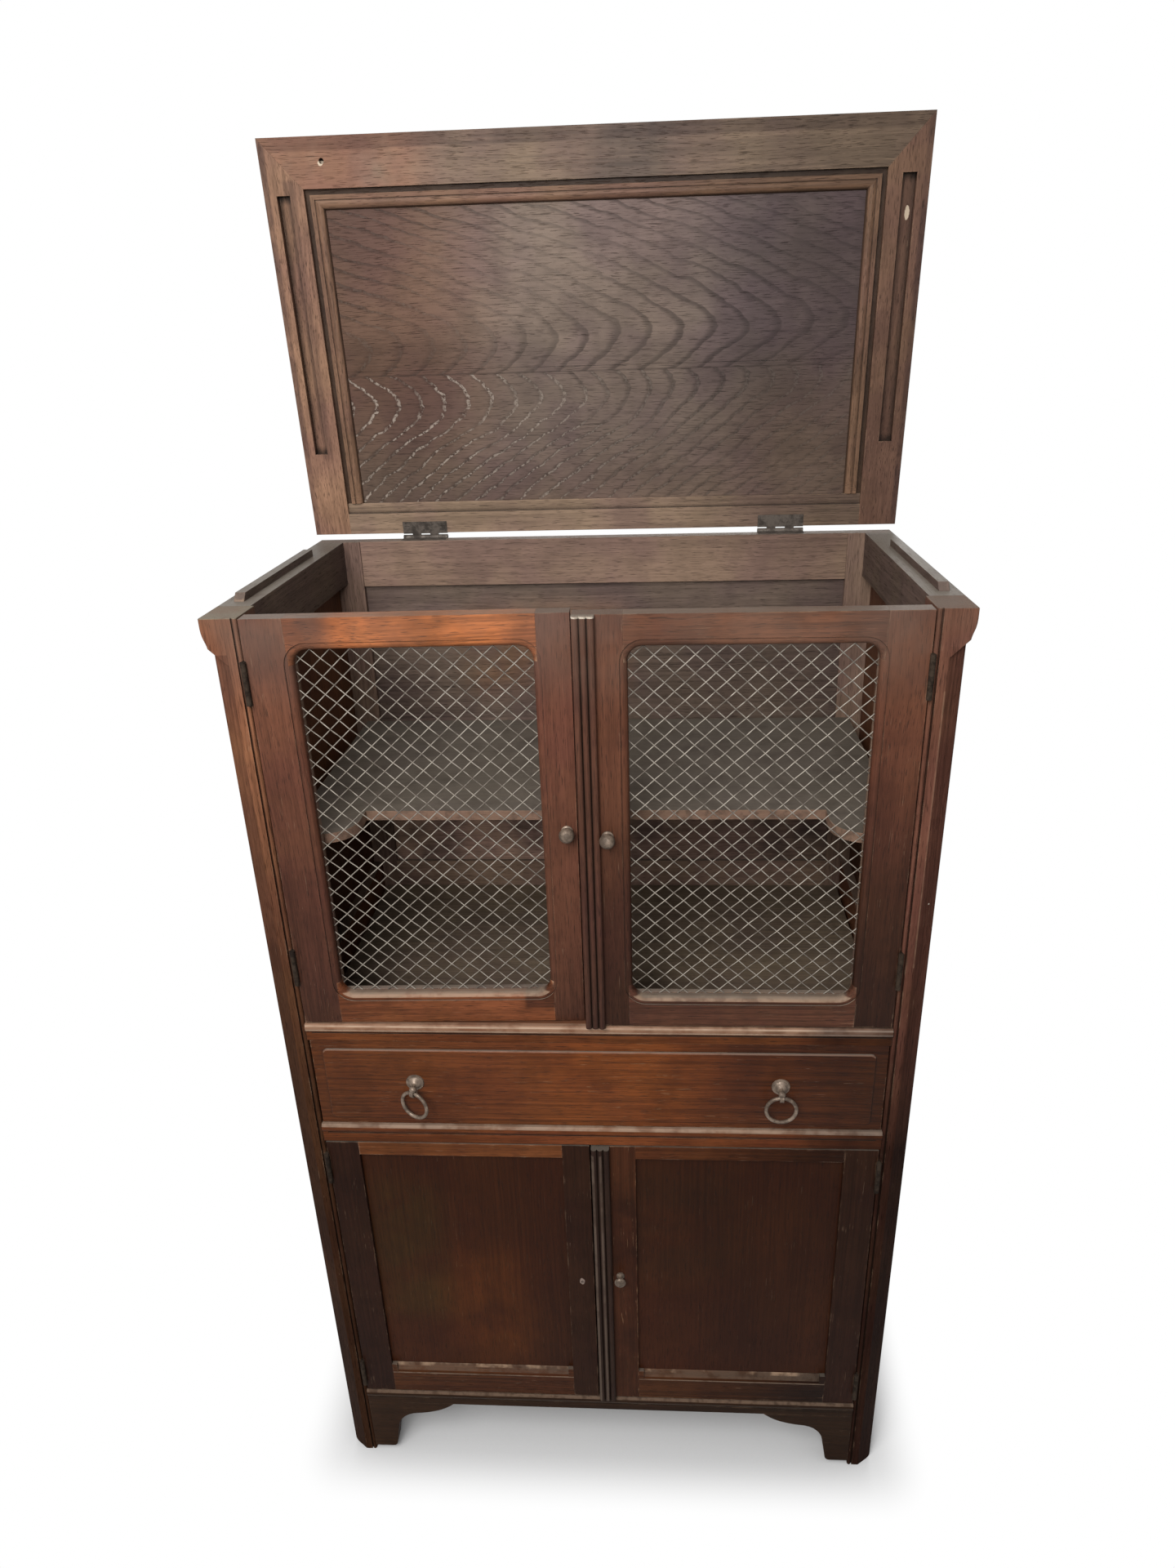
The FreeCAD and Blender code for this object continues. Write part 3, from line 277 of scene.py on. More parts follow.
def along(axis, grain, across):
    """One number for the grain's axis and another for the two across it."""
    return tuple(grain if index == axis else across for index in range(3))


class Grain:
    """The noises of one oak coat. upright(t) is 1 where its grain turns from X to Z."""

    def __init__(self, t, axis, seed, upright):
        self.t = t
        self.axis = axis
        self.shift = (seed, seed * 1.7, seed * 0.6)
        place = t.mix(upright(t), t.place, t.z_as_x()) if upright else t.place
        self.wander = self.noise(WANDER, place, detail=2.0)
        sway = t.grey(t.swing(self.wander, GRAIN_SWAY))
        self.bent = t.vector("ADD", place, t.vector("MULTIPLY", sway, along(axis, 0.0, 1.0)))
        self.streak = self.noise(STREAKS, self.bent, detail=4.0, rough=0.62)
        self.fine = self.noise(FINE_LINES, self.bent, detail=2.0, rough=0.6)
        self.pore = t.span(self.noise(PORES, self.bent, detail=1.0), 0.31, 0.41, 1.0, 0.0)
        self.cloud = self.noise(CLOUDS, t.place, detail=3.0)
        self.blotch = t.even_noise(self.shift, BLOTCHES, rough=0.6)

    def noise(self, texture, source, **settings):
        return self.t.noise(self.t.stretch(along(self.axis, *texture), self.shift, source), **settings)


def stained(t, grain, colour, contrast, figure):
    """The wood's own colour: rings or streaks, fine lines, pores, clouds and uneven stain."""
    light = tuple(c * (1 + LIGHT_GRAIN * contrast) for c in colour)
    dark = tuple(c * (1 - DARK_GRAIN * contrast) for c in colour)
    rings = figure(t, grain) if figure else grain.streak
    wood = t.mix(t.span(rings, 0.30, 0.68), dark, light)
    if not figure:
        wood = t.mix(t.span(grain.cloud, 0.3, 0.7, 0.25, 0.70), wood, colour)
    wood = t.mix(t.span(grain.fine, 0.30, 0.47, 0.42, 0.0), wood, dark)
    wood = t.mix(t.times(grain.pore, 0.60), wood, GRIME_AND_SHADE)
    wood = t.tint(wood, t.grey(t.span(grain.cloud, 0.28, 0.72, 0.78, 1.18)))
    wood = t.mix(t.span(grain.blotch, 0.34, 0.58, 0.34, 0.0), wood, dark)
    stain = t.even_noise(grain.shift, STAINS, rough=0.55)
    return t.tint(wood, t.mix(t.span(stain, 0.36, 0.62), COOL_STAIN, WARM_STAIN))


def with_painted_shading(t, wood, painted_shading):
    """Painted shade and light: darker towards the bottom and the sides, where less light falls, and lighter
    where a coat's numbers are above 1.
    """
    shade = t.math("POWER", t.span(t.axis(Z), *painted_shading.heights, smooth=False), painted_shading.curve)
    shade = t.math("MULTIPLY_ADD", shade, 1.0 - painted_shading.low, painted_shading.low)
    shade = t.times(shade, t.span(t.axis(X), 0.0, CASE_SIDE, 1.0, painted_shading.right))
    shade = t.times(shade, t.span(t.axis(X), -CASE_SIDE, 0.0, painted_shading.left, 1.0))
    return t.tint(wood, t.grey(shade))


def worn(t, wood, grain, wear):
    """Bare wood on rubbed arrises and in scratches along the grain."""
    arris = t.span(t.hollow(ARRIS_REACH, inside=True), 0.42, 0.75)
    rub = t.span(t.even_noise(grain.shift, RUBS), 0.45, 0.68)
    wood = t.mix(t.times(t.times(arris, rub), wear), wood, RAW_OAK)
    scratch = t.span(grain.noise(SCRATCHES, grain.bent, detail=1.0), 0.66, 0.74)
    scratch = t.times(scratch, t.span(rub, 0.2, 0.8))
    return t.mix(t.times(scratch, 0.30 * wear), wood, RAW_OAK)


def dusty(t, wood, grain, dust):
    """Dust on what faces up."""
    up = t.span(t.axis(Z, t.normal), 0.60, 0.95)
    return t.mix(t.times(t.times(up, t.span(grain.blotch, 0.25, 0.60, 0.6, 1.0)), dust), wood, DUST)


def oak(name, axis, colour, seed, contrast=1.0, painted_shading=PaintedShading(), figure=None, upright=None, wear=0.5, dust=0.6,
        corner_shade=0.8, gloss=0.42, specular=0.10, patches=()):
    """Waxed, worn oak with its grain along an axis, around one middle colour.

    figure(t, grain) draws a plain-sawn board's rings, and each patch(t, wood) adds a local mark.
    """
    t = MaterialGraph(name)
    grain = Grain(t, axis, seed, upright)
    wood = with_painted_shading(t, stained(t, grain, colour, contrast, figure), painted_shading)
    # painted shade: darker in the piece's own corners, creases and hollows
    wood = t.mix(t.span(t.hollow(CORNER_SHADE_REACH), 0.08, 0.50, 0.0, corner_shade), wood, GRIME_AND_SHADE)
    if wear:
        wood = worn(t, wood, grain, wear)
    for patch in patches:
        wood = patch(t, wood)
    wood = dusty(t, wood, grain, dust)

    rough = t.math("MULTIPLY_ADD", grain.cloud, ROUGH_SPREAD, gloss - 0.09)
    rough = t.plus(rough, t.times(grain.pore, PORE_ROUGH))
    height = t.plus(t.times(grain.pore, -0.6), t.times(grain.fine, 0.35))
    height = t.plus(height, t.times(grain.streak, 0.5))
    normal = t.bump(height, GRAIN_DEPTH, 0.55, t.rounded_normal(ARRIS_RADIUS))
    return t.finish(wood, rough, normal, specular)


# ---- local marks --------------------------------------------------------------------------------------
def block(x=None, y=None, z=None):
    """Where a patch is: a (low, high) pair for each axis, or None where it has no ends."""
    return x, y, z


def inside(t, ends, soft):
    """1 inside a block, falling to 0 over a soft edge."""
    mask = None
    for index, pair in enumerate(ends):
        if pair is None:
            continue
        low, high = pair
        rise = t.span(t.axis(index), low - soft, low)
        edge = t.times(rise, t.span(t.axis(index), high, high + soft, 1.0, 0.0))
        mask = edge if mask is None else t.times(mask, edge)
    return mask


def facing_up(t, low, high):
    """1 where the surface leans up by between two amounts."""
    lean = t.axis(Z, t.normal)
    return t.times(t.span(lean, low - 0.02, low), t.span(lean, high, high + 0.02, 1.0, 0.0))


def broken(t, scale, low, high, seed=0.0):
    """A ragged mask of 0 and 1."""
    return t.span(t.even_noise((seed, seed, seed), scale), low, high)


def rubbed(ends, soft, amount, colour=PALE_WEAR, lean=None, scale=30.0):
    """A pale rubbed band inside a block, on faces that lean up by some amount."""
    def patch(t, wood):
        mask = t.times(inside(t, ends, soft), t.span(broken(t, scale, 0.30, 0.62), 0.0, 1.0, 0.45, 1.0))
        if lean:
            mask = t.times(mask, facing_up(t, *lean))
        return t.mix(t.times(mask, amount), wood, colour)
    return patch


def tinted(ends, soft, tint, amount=1.0):
    """A broad soft patch where the stain has turned: the tint multiplies the colour under it."""
    def patch(t, wood):
        mask = t.times(inside(t, ends, soft), broken(t, 11.0, 0.22, 0.60, 7.0))
        return t.tint(wood, tint, t.times(mask, amount))
    return patch


def from_front(patch):
    """Keeps a patch off the faces that look to the back of the piece."""
    def limited(t, wood):
        return t.mix(t.math("LESS_THAN", t.axis(Y, t.own_normal), 0.5), wood, patch(t, wood))
    return limited


def faded(amount):
    """The upper ends of the doors and posts are greyer, from hands and dust."""
    def patch(t, wood):
        mask = t.times(t.span(t.axis(Z), 1.13, 1.24), broken(t, 9.0, 0.25, 0.62, 4.0))
        return t.mix(t.times(mask, amount), wood, FADED_OAK)
    return patch


def spots(size, scale, share, ends, colour=CHALK):
    """A few small drips and chips inside a block."""
    def patch(t, wood):
        cells = t.add("ShaderNodeTexVoronoi")
        t.put(cells.inputs["Vector"], t.place)
        cells.inputs["Scale"].default_value = scale
        dot = t.span(cells.outputs["Distance"], size * scale * 0.6, size * scale, 1.0, 0.0)
        chosen = t.math("LESS_THAN", t.axis(X, cells.outputs["Color"]), share)
        mask = t.times(t.times(dot, chosen), inside(t, ends, 0.002))
        return t.mix(t.times(mask, 0.8), wood, colour)
    return patch


def mark(centre, radii, colour, amount):
    """One small round or oval mark, seen along the Y axis: centre and radii are (x, z)."""
    def patch(t, wood):
        offset = t.vector("SUBTRACT", t.place, (centre[0], 0.0, centre[1]))
        scaled = t.vector("MULTIPLY", offset, (1.0 / radii[0], 0.0, 1.0 / radii[1]))
        reach = t.plus(t.vector("LENGTH", scaled), t.swing(t.noise(t.place, scale=420.0), 0.5))
        mask = t.span(reach, 0.8, 1.0, 1.0, 0.0)
        return t.mix(t.times(mask, amount), wood, colour)
    return patch


# ---- the lid's moulding and its two plain-sawn boards -------------------------------------------------
QUIRK_REACH = (0.3335, 0.3350)      # how far out from the middle the moulding's quirk starts
CORNER_REACH = (0.3190, 0.3205)     # and where its corner with the boards ends
FRAME_EDGE_X = 0.340        # the inner edge of the lid's frame, where the moulding starts
FRAME_EDGE_Z = 1.6546
FIELD_HALF_X = 0.318        # the boards inside the moulding
FIELD_HALF_Z = 0.161
FIELD_MIDDLE_Z = 1.472
LID_JOINT_Z = 1.4470        # where the two boards meet


def moulding_uprights(t):
    """1 on the upright pieces of the lid's moulding, whose mitres run at 45 degrees."""
    beyond_x = t.plus(t.math("ABSOLUTE", t.axis(X)), -FIELD_HALF_X)
    beyond_z = t.plus(t.math("ABSOLUTE", t.plus(t.axis(Z), -FIELD_MIDDLE_Z)), -FIELD_HALF_Z)
    return t.math("GREATER_THAN", beyond_x, beyond_z)


def moulding_shade_lines(t, wood):
    """Painted shade in the lid moulding's quirk, along the frame, and in the corner with the boards."""
    side = t.math("ABSOLUTE", t.axis(X))
    front = t.plus(t.axis(Z), FRAME_EDGE_X - FRAME_EDGE_Z)
    out = t.math("MAXIMUM", side, front)
    quirk = t.span(out, *QUIRK_REACH)
    corner = t.span(out, *CORNER_REACH, 1.0, 0.0)
    return t.mix(t.times(t.math("MAXIMUM", quirk, corner), 0.75), wood, MOULDING_SHADE)


class Arches(NamedTuple):
    """The nested arches of one board, which point to the right."""
    tip_z: float
    blunt: float            # how round their tips are
    slope: float            # how far their arms run back for their height
    spacing: float
    seed: float


TIP_RISE = 0.05             # the line through the tips rises to the right by this much a metre
UPPER_ARCHES = Arches(tip_z=1.486, blunt=0.034, slope=2.5, spacing=0.040, seed=3.0)
LOWER_ARCHES = Arches(tip_z=1.424, blunt=0.026, slope=1.7, spacing=0.030, seed=8.0)


def arch_lines(t, grain, board):
    """1 along the dark line of each arch."""
    shift = (board.seed, 0, board.seed)
    rough = t.even_noise(shift, 16.0, rough=0.6)
    jag = t.noise(t.stretch((40, 1, 150), shift))
    tip = t.math("MULTIPLY_ADD", t.axis(X), -TIP_RISE, -board.tip_z)
    away = t.plus(t.plus(t.axis(Z), tip), t.swing(rough, 0.020))
    arm = t.math("SQRT", t.plus(t.times(away, away), board.blunt * board.blunt))
    run = t.plus(t.axis(X), t.times(arm, board.slope))
    run = t.plus(run, t.swing(grain.wander, 0.05))
    run = t.plus(run, t.swing(jag, 0.008))
    phase = t.math("FRACT", t.times(run, 1.0 / board.spacing))
    return t.times(t.span(phase, 0.62, 0.90), t.span(phase, 0.93, 1.0, 1.0, 0.0))


def arches(t, grain):
    """The figure of the lid's boards: a different set of arches on each side of their joint."""
    above = t.math("GREATER_THAN", t.axis(Z), LID_JOINT_Z)
    lower, upper = (arch_lines(t, grain, board) for board in (LOWER_ARCHES, UPPER_ARCHES))
    t.ring_lines = t.mix_value(above, lower, upper)
    soft = t.times(t.span(grain.wander, 0.35, 0.65, 0.35, 1.0), t.span(t.axis(X), 0.12, 0.26, 1.0, 0.5))
    base = t.math("MULTIPLY_ADD", grain.streak, 0.20, 0.44)
    return t.math("SUBTRACT", base, t.times(t.times(t.ring_lines, soft), 0.22))


# a painted sheen in the middle, and stains at the upper right and the left
PAINTED_LID_SHEEN_AND_STAINS = (
    (block(x=(-0.10, 0.10), z=(1.40, 1.62)), (1.30, 1.42, 1.50)),
    (block(x=(0.22, 0.40), z=(1.50, 1.70)), (0.62, 0.66, 0.80)),
    (block(x=(-0.40, -0.22), z=(1.44, 1.64)), (1.05, 0.88, 0.80)),
)


def painted_lid_sheen_and_stains(t, wood):
    """A painted sheen, greyer and brighter in the middle; stains, darker and bluer at the upper right, warmer
    at the left.
    """
    for ends, tint in PAINTED_LID_SHEEN_AND_STAINS:
        wood = t.tint(wood, tint, inside(t, ends, 0.15))
    return wood


def chalk_in_rings(t, wood):
    """Pale filler left in the open grain, mostly in the lower board at the left."""
    gritty = broken(t, 260.0, 0.41, 0.57, 2.0)
    patchy = broken(t, 22.0, 0.28, 0.58, 6.0)
    zone = t.times(t.span(t.axis(Z), LID_JOINT_Z - 0.002, LID_JOINT_Z, 1.0, 0.10),
                   t.span(t.axis(X), -0.24, 0.16, 1.0, 0.12))
    peak = t.span(t.ring_lines, 0.54, 0.95)
    amount = t.times(t.times(peak, gritty), t.times(zone, patchy))
    return t.mix(t.times(amount, 0.66), wood, OLD_FILLER)


def board_joint(t, wood):
    """A thin dark line where the two boards meet."""
    ends = block(z=(LID_JOINT_Z - 0.0006, LID_JOINT_Z + 0.0006))
    return t.mix(t.times(inside(t, ends, 0.0008), 0.35), wood, GRIME_AND_SHADE)


# ---- the oak coats ------------------------------------------------------------------------------------
SIDE_HEIGHTS = (0.38, 1.10)
DOOR_HEIGHTS = (0.80, 1.18)
BEAD_Y = (-0.2170, -0.2090)                    # the beads on the front rails
LINE_WEAR = (0.42, 0.320, 0.240)
REED_WEAR = (0.16, 0.12, 0.095)
LEDGE_WEAR = (0.29, 0.205, 0.145)
BEAD_WEAR = (0.24, 0.165, 0.12)
END_SHADE = (0.42, 0.45, 0.52)
EDGE_SHADE = (0.50, 0.50, 0.56)

SILL_BANDS = (
    # the bead over the drawer, with a brighter line on each arris
    rubbed(block(y=BEAD_Y, z=(0.7485, 0.7580)), 0.0015, 0.55, (0.30, 0.190, 0.130)),
    rubbed(block(y=BEAD_Y, z=(0.7545, 0.7558)), 0.0006, 0.55, LINE_WEAR, scale=26.0),
    rubbed(block(y=BEAD_Y, z=(0.7490, 0.7502)), 0.0006, 0.55, LINE_WEAR, scale=22.0),
    # the bead under the drawer
    rubbed(block(y=BEAD_Y, z=(0.6045, 0.6078)), 0.0012, 0.58, (0.33, 0.245, 0.185)),
    # the flat under it is lighter, and painted shade darkens both rails at the right
    tinted(block(z=(0.57, 0.602)), 0.002, (1.28, 1.18, 1.18)),
    tinted(block(x=(0.27, 0.34), z=(0.57, 0.602)), 0.04, END_SHADE),
    tinted(block(x=(0.27, 0.34), z=(0.72, 0.746)), 0.04, END_SHADE),
)
# the worn mouldings under the two wire meshes
DOOR_LEDGES = tuple(
    rubbed(block(x=reach, z=(0.7885, 0.7975)), 0.002, 0.62, LEDGE_WEAR, lean=(0.25, 0.99), scale=40.0)
    for reach in ((-0.2945, -0.0470), (0.0430, 0.2945)))

OAKS = {
    "left_post": dict(
        axis=Z, colour=(0.192, 0.084, 0.046), seed=1.0, contrast=0.75, wear=0.6, specular=0.006,
        painted_shading=PaintedShading(low=0.22, heights=SIDE_HEIGHTS, curve=3.0),
        patches=(
            faded(0.6),
            # painted shade on the chamfer, then the dusty top end
            tinted(block(x=(-0.376, -0.3572), z=(0.0, 1.205)), 0.0008, (0.62, 0.62, 0.66), amount=0.8),
            rubbed(block(x=(-0.385, -0.338), z=(1.2425, 1.2440)), 0.0004, 0.75, (0.165, 0.148, 0.112)))),
    "right_post": dict(
        axis=Z, colour=(0.128, 0.056, 0.038), seed=2.0, contrast=0.75, wear=0.6, specular=0.006,
        painted_shading=PaintedShading(low=0.23, heights=(0.58, 0.96), curve=0.62),
        patches=(
            faded(0.35),
            # painted shade on the chamfer, then its worn arris, and chips
            tinted(block(x=(0.3572, 0.376), z=(0.0, 1.205)), 0.0008, (0.70, 0.70, 0.70), amount=0.8),
            rubbed(block(x=(0.3556, 0.3569), y=(-0.2140, -0.2120), z=(0.84, 1.16)), 0.0006, 0.18,
                   (0.33, 0.225, 0.150), scale=60.0),
            spots(0.0013, 22.0, 0.10, block(x=(0.34, 0.38), z=(0.3, 1.2))))),
    "left_stile": dict(
        axis=Z, colour=(0.087, 0.034, 0.021), seed=3.0, contrast=0.8,
        painted_shading=PaintedShading(low=0.20, heights=SIDE_HEIGHTS, curve=1.1),
        patches=(faded(0.5), *DOOR_LEDGES)),
    "right_stile": dict(
        axis=Z, colour=(0.080, 0.031, 0.018), seed=3.6, contrast=0.8,
        painted_shading=PaintedShading(low=0.08, heights=SIDE_HEIGHTS, curve=2.4, right=0.95),
        patches=(faded(0.5), *DOOR_LEDGES)),
    "low_stile": dict(
        axis=Z, colour=(0.021, 0.0085, 0.005), seed=3.9, contrast=0.8, specular=0.04,
        patches=(
            # the right door's meeting stile is lighter
            tinted(block(x=(0.005, 0.045), z=(0.12, 0.58)), 0.004, (2.2, 1.9, 1.6)),
            spots(0.0012, 26.0, 0.16, block(x=(-0.05, 0.0), z=(0.2, 0.6))),
            # round the hole of the missing knob
            from_front(mark((-0.0270, 0.3495), (0.0036, 0.0060), (0.26, 0.20, 0.175), 0.8)))),
    "low_astragal": dict(
        axis=Z, colour=(0.026, 0.014, 0.010), seed=3.2, contrast=0.8, wear=0.0, specular=0.04,
        patches=(
            rubbed(block(x=(-0.0085, -0.0060), z=(0.13, 0.57)), 0.001, 0.45, REED_WEAR),
            rubbed(block(x=(0.0015, 0.0035), z=(0.13, 0.57)), 0.001, 0.40, REED_WEAR))),
    "astragal": dict(
        axis=Z, colour=(0.078, 0.033, 0.022), seed=3.3, contrast=0.8, corner_shade=0.95,
        painted_shading=PaintedShading(low=0.20, heights=SIDE_HEIGHTS, curve=1.3),
        patches=(
            faded(0.4),
            spots(0.0009, 70.0, 0.10, block(z=(0.76, 1.10)), (0.30, 0.26, 0.22)),
            # the chalky top end
            rubbed(block(z=(1.2402, 1.2416)), 0.0006, 0.85, CHALK, scale=90.0))),
    "left_rail": dict(
        axis=X, colour=(0.225, 0.076, 0.030), seed=4.0, contrast=1.1,
        painted_shading=PaintedShading(low=0.70, heights=DOOR_HEIGHTS, left=0.80),
        patches=(
            # the top rail's bright middle and dark left end, and the lower rail's dark right end
            tinted(block(x=(-0.23, -0.09), z=(1.19, 1.25)), 0.05, (1.75, 1.65, 1.40)),
            tinted(block(x=(-0.32, -0.268), z=(1.15, 1.25)), 0.03, (0.45, 0.55, 0.80)),
            tinted(block(x=(-0.0760, -0.0300), z=(0.780, 0.806)), 0.006, (0.40, 0.42, 0.50)),
            faded(0.25),
            *DOOR_LEDGES)),
    "right_rail": dict(
        axis=X, colour=(0.080, 0.033, 0.020), seed=5.0,
        painted_shading=PaintedShading(low=0.95, heights=DOOR_HEIGHTS),
        patches=(
            tinted(block(x=(0.16, 0.22), z=(1.19, 1.25)), 0.06, (1.6, 1.5, 1.3)),
            faded(0.4),
            *DOOR_LEDGES)),
    "sill": dict(
        axis=X, colour=(0.094, 0.030, 0.011), seed=6.0, wear=0.2, dust=0.15, specular=0.05,
        painted_shading=PaintedShading(right=0.62), patches=SILL_BANDS),
    "drawer": dict(
        axis=X, colour=(0.106, 0.032, 0.0105), seed=7.0, contrast=1.1, wear=0.7,
        painted_shading=PaintedShading(left=0.66, right=0.36),
        patches=(
            tinted(block(x=(-0.03, 0.10), z=(0.62, 0.72)), 0.07, (1.18, 1.12, 0.95)),
            # painted shade at the drawer's right end
            tinted(block(x=(0.20, 0.36), z=(0.60, 0.75)), 0.08, (0.82, 0.80, 0.90)),
            # the raised field's upper edge
            rubbed(block(z=(0.7165, 0.7225)), 0.001, 0.42, (0.22, 0.14, 0.105), lean=(0.10, 0.99)),
            spots(0.0012, 24.0, 0.10, block(x=(0.30, 0.35), z=(0.6, 0.74))))),
    "lower_rail": dict(
        axis=X, colour=(0.106, 0.036, 0.0135), seed=8.0, wear=0.7, specular=0.05,
        painted_shading=PaintedShading(low=0.50, heights=(0.10, 0.56), right=0.14),
        patches=(
            # painted shade on the right door's top rail
            tinted(block(x=(0.04, 0.34), z=(0.50, 0.60)), 0.04, (0.62, 0.58, 0.63)),
            # the moulding over the lower rails and its lower arris
            rubbed(block(z=(0.1690, 0.1805)), 0.001, 0.34, (0.17, 0.125, 0.095), lean=(0.15, 0.9),
                   scale=40.0),
            rubbed(block(z=(0.1640, 0.1650)), 0.0006, 0.55, (0.22, 0.165, 0.125), scale=40.0))),
    "bottom_rail": dict(
        axis=X, colour=(0.026, 0.012, 0.006), seed=8.4, wear=0.3, dust=0.1, specular=0.04,
        painted_shading=PaintedShading(right=0.65),
        patches=(
            rubbed(block(y=BEAD_Y, z=(0.1240, 0.1275)), 0.001, 0.42, BEAD_WEAR, scale=80.0),
            rubbed(block(y=BEAD_Y, z=(0.1165, 0.1180)), 0.001, 0.30, BEAD_WEAR))),
    "panel": dict(
        axis=Z, colour=(0.034, 0.0105, 0.0043), seed=9.0, contrast=0.55, wear=0.2, specular=0.05,
        painted_shading=PaintedShading(right=0.80),
        patches=(
            tinted(block(x=(-0.16, -0.13), z=(0.24, 0.36)), 0.08, (1.75, 1.7, 1.3)),
            tinted(block(x=(-0.27, -0.24), z=(0.30, 0.48)), 0.06, (1.05, 1.5, 1.2)),
            tinted(block(x=(0.05, 0.12), z=(0.40, 0.50)), 0.08, (0.80, 0.95, 1.0)))),
    "lid_x": dict(
        axis=X, colour=(0.152, 0.106, 0.078), seed=10.0, contrast=0.7, dust=0.1, corner_shade=0.95,
        painted_shading=PaintedShading(low=1.28, heights=(1.26, 1.46), right=0.60),
        patches=(
            # the front rail's warm left end, its darker middle, its outer edge and its peg hole
            tinted(block(x=(-0.40, -0.25), z=(1.63, 1.72)), 0.10, (1.25, 0.95, 0.85)),
            from_front(tinted(block(x=(0.02, 0.06), z=(1.66, 1.72)), 0.06, (0.64, 0.68, 0.72))),
            tinted(block(x=(-0.40, 0.40), z=(1.6945, 1.72)), 0.004, (0.62, 0.60, 0.62)),
            from_front(mark((-0.3156, 1.6800), (0.0034, 0.0034), (0.50, 0.42, 0.33), 0.9)))),
    "lid_z": dict(
        axis=Z, colour=(0.190, 0.108, 0.073), seed=11.0, contrast=0.7, dust=0.1, corner_shade=0.95,
        painted_shading=PaintedShading(left=1.2, right=0.54),
        patches=(
            # the two outer edges, a painted shadow on the strip beside the left groove, and a chip on the
            # right
            tinted(block(x=(-0.40, -0.3830), z=(1.25, 1.72)), 0.004, EDGE_SHADE),
            tinted(block(x=(0.3830, 0.40), z=(1.25, 1.72)), 0.004, EDGE_SHADE),
            tinted(block(x=(-0.3610, -0.3530), z=(1.35, 1.66)), 0.006, (0.62, 0.62, 0.66)),
            from_front(mark((0.3672, 1.6085), (0.0030, 0.0085), (0.46, 0.38, 0.29), 0.85)))),
    "lid_moulding": dict(
        axis=X, colour=(0.150, 0.086, 0.057), seed=11.5, contrast=0.8, wear=0.12, dust=0.1, corner_shade=1.0,
        painted_shading=PaintedShading(right=0.75), upright=moulding_uprights, patches=(moulding_shade_lines,)),
    "inner_x": dict(
        axis=X, colour=(0.160, 0.107, 0.081), seed=12.0, contrast=0.7, wear=0.25, painted_shading=PaintedShading(right=0.8)),
    "inner_panel": dict(
        axis=X, colour=(0.103, 0.075, 0.062), seed=12.5, contrast=0.7, wear=0.25, painted_shading=PaintedShading(right=0.7),
        patches=(
            from_front(tinted(block(x=(-0.16, 0.0), z=(1.06, 1.12)), 0.06, (1.35, 1.1, 0.85))),
            # painted light: the lower back panel brighter, as if lit through the mesh
            from_front(tinted(block(z=(0.70, 0.90)), 0.10, (2.3, 2.1, 2.0))),
            tinted(block(z=(1.125, 1.25)), 0.02, (1.12, 1.12, 1.14)),
            # painted light: the left of the lower back panel brighter still
            from_front(tinted(block(x=(-0.34, -0.12), z=(0.70, 0.94)), 0.06, (1.35, 1.32, 1.32))))),
    "inner_y": dict(axis=Y, colour=(0.082, 0.058, 0.046), seed=13.0, wear=0.35, dust=0.9),
    "inner_z": dict(axis=Z, colour=(0.141, 0.094, 0.072), seed=14.0, contrast=0.7, wear=0.25),
    "outer_y": dict(axis=Y, colour=(0.100, 0.040, 0.020), seed=15.0, wear=0.4),
    "outer_z": dict(axis=Z, colour=(0.080, 0.032, 0.016), seed=15.5, wear=0.4),
    "shelf": dict(
        axis=X, colour=(0.055, 0.042, 0.033), seed=16.0, wear=1.0, dust=0.55, gloss=0.6,
        painted_shading=PaintedShading(right=0.85),
        patches=(
            rubbed(block(y=(-0.20, -0.10), z=(0.9770, 0.9900)), 0.004, 0.45, lean=(-0.2, 0.5), scale=60.0),)),
    "floor": dict(axis=X, colour=(0.112, 0.079, 0.054), seed=16.5, dust=0.25, gloss=0.6),
    "lid_boards": dict(
        axis=X, colour=(0.098, 0.067, 0.054), seed=17.0, contrast=0.8, wear=0.1, dust=0.1, figure=arches,
        painted_shading=PaintedShading(left=0.78, right=0.84),
        patches=(from_front(painted_lid_sheen_and_stains), from_front(chalk_in_rings), board_joint)),
}
coats = {name: oak("oak_" + name, **look) for name, look in OAKS.items()}


# ---- metal --------------------------------------------------------------------------------------------
TARNISH_EDGE = (0.36, 0.62)


def metal(name, bright, dull, seed, rough, metallic, scale=90.0, specular=0.3):
    """Old metal: dull in the hollows and patches, brighter and smoother where it is handled."""
    t = MaterialGraph(name)
    shift = (seed, seed, seed)
    tarnish = t.even_noise(shift, scale, detail=4.0)
    grain = t.even_noise(shift, scale * 9, detail=2.0, rough=0.5)
    handled = t.times(t.span(tarnish, *TARNISH_EDGE), t.span(t.hollow(0.004), 0.15, 0.6, 1.0, 0.25))
    colour = t.mix(t.span(grain, 0.30, 0.42, 0.5, 0.0), t.mix(handled, dull, bright), dull)
    smooth, coarse = rough
    roughness = t.span(tarnish, *TARNISH_EDGE, coarse, smooth)
    normal = t.bump(t.plus(tarnish, t.times(grain, 0.5)), 0.0003, 0.5)
    return t.finish(colour, roughness, normal, specular, metallic)


coats["brass"] = metal("aged_brass", (0.185, 0.140, 0.108), (0.066, 0.048, 0.036), seed=1.0,
                       rough=(0.40, 0.65), metallic=0.35)
coats["steel"] = metal("dark_steel", (0.036, 0.026, 0.019), (0.014, 0.010, 0.008), seed=2.0,
                       rough=(0.7, 0.85), metallic=0.0, specular=0.05)
coats["lid_steel"] = metal("lid_hinge_steel", (0.080, 0.066, 0.056), (0.030, 0.024, 0.020), seed=2.5,
                           rough=(0.5, 0.8), metallic=0.3)
coats["wire"] = metal("tinned_wire", (0.26, 0.235, 0.205), (0.10, 0.085, 0.072), seed=3.0,
                      rough=(0.45, 0.7), metallic=0.3, scale=60.0)

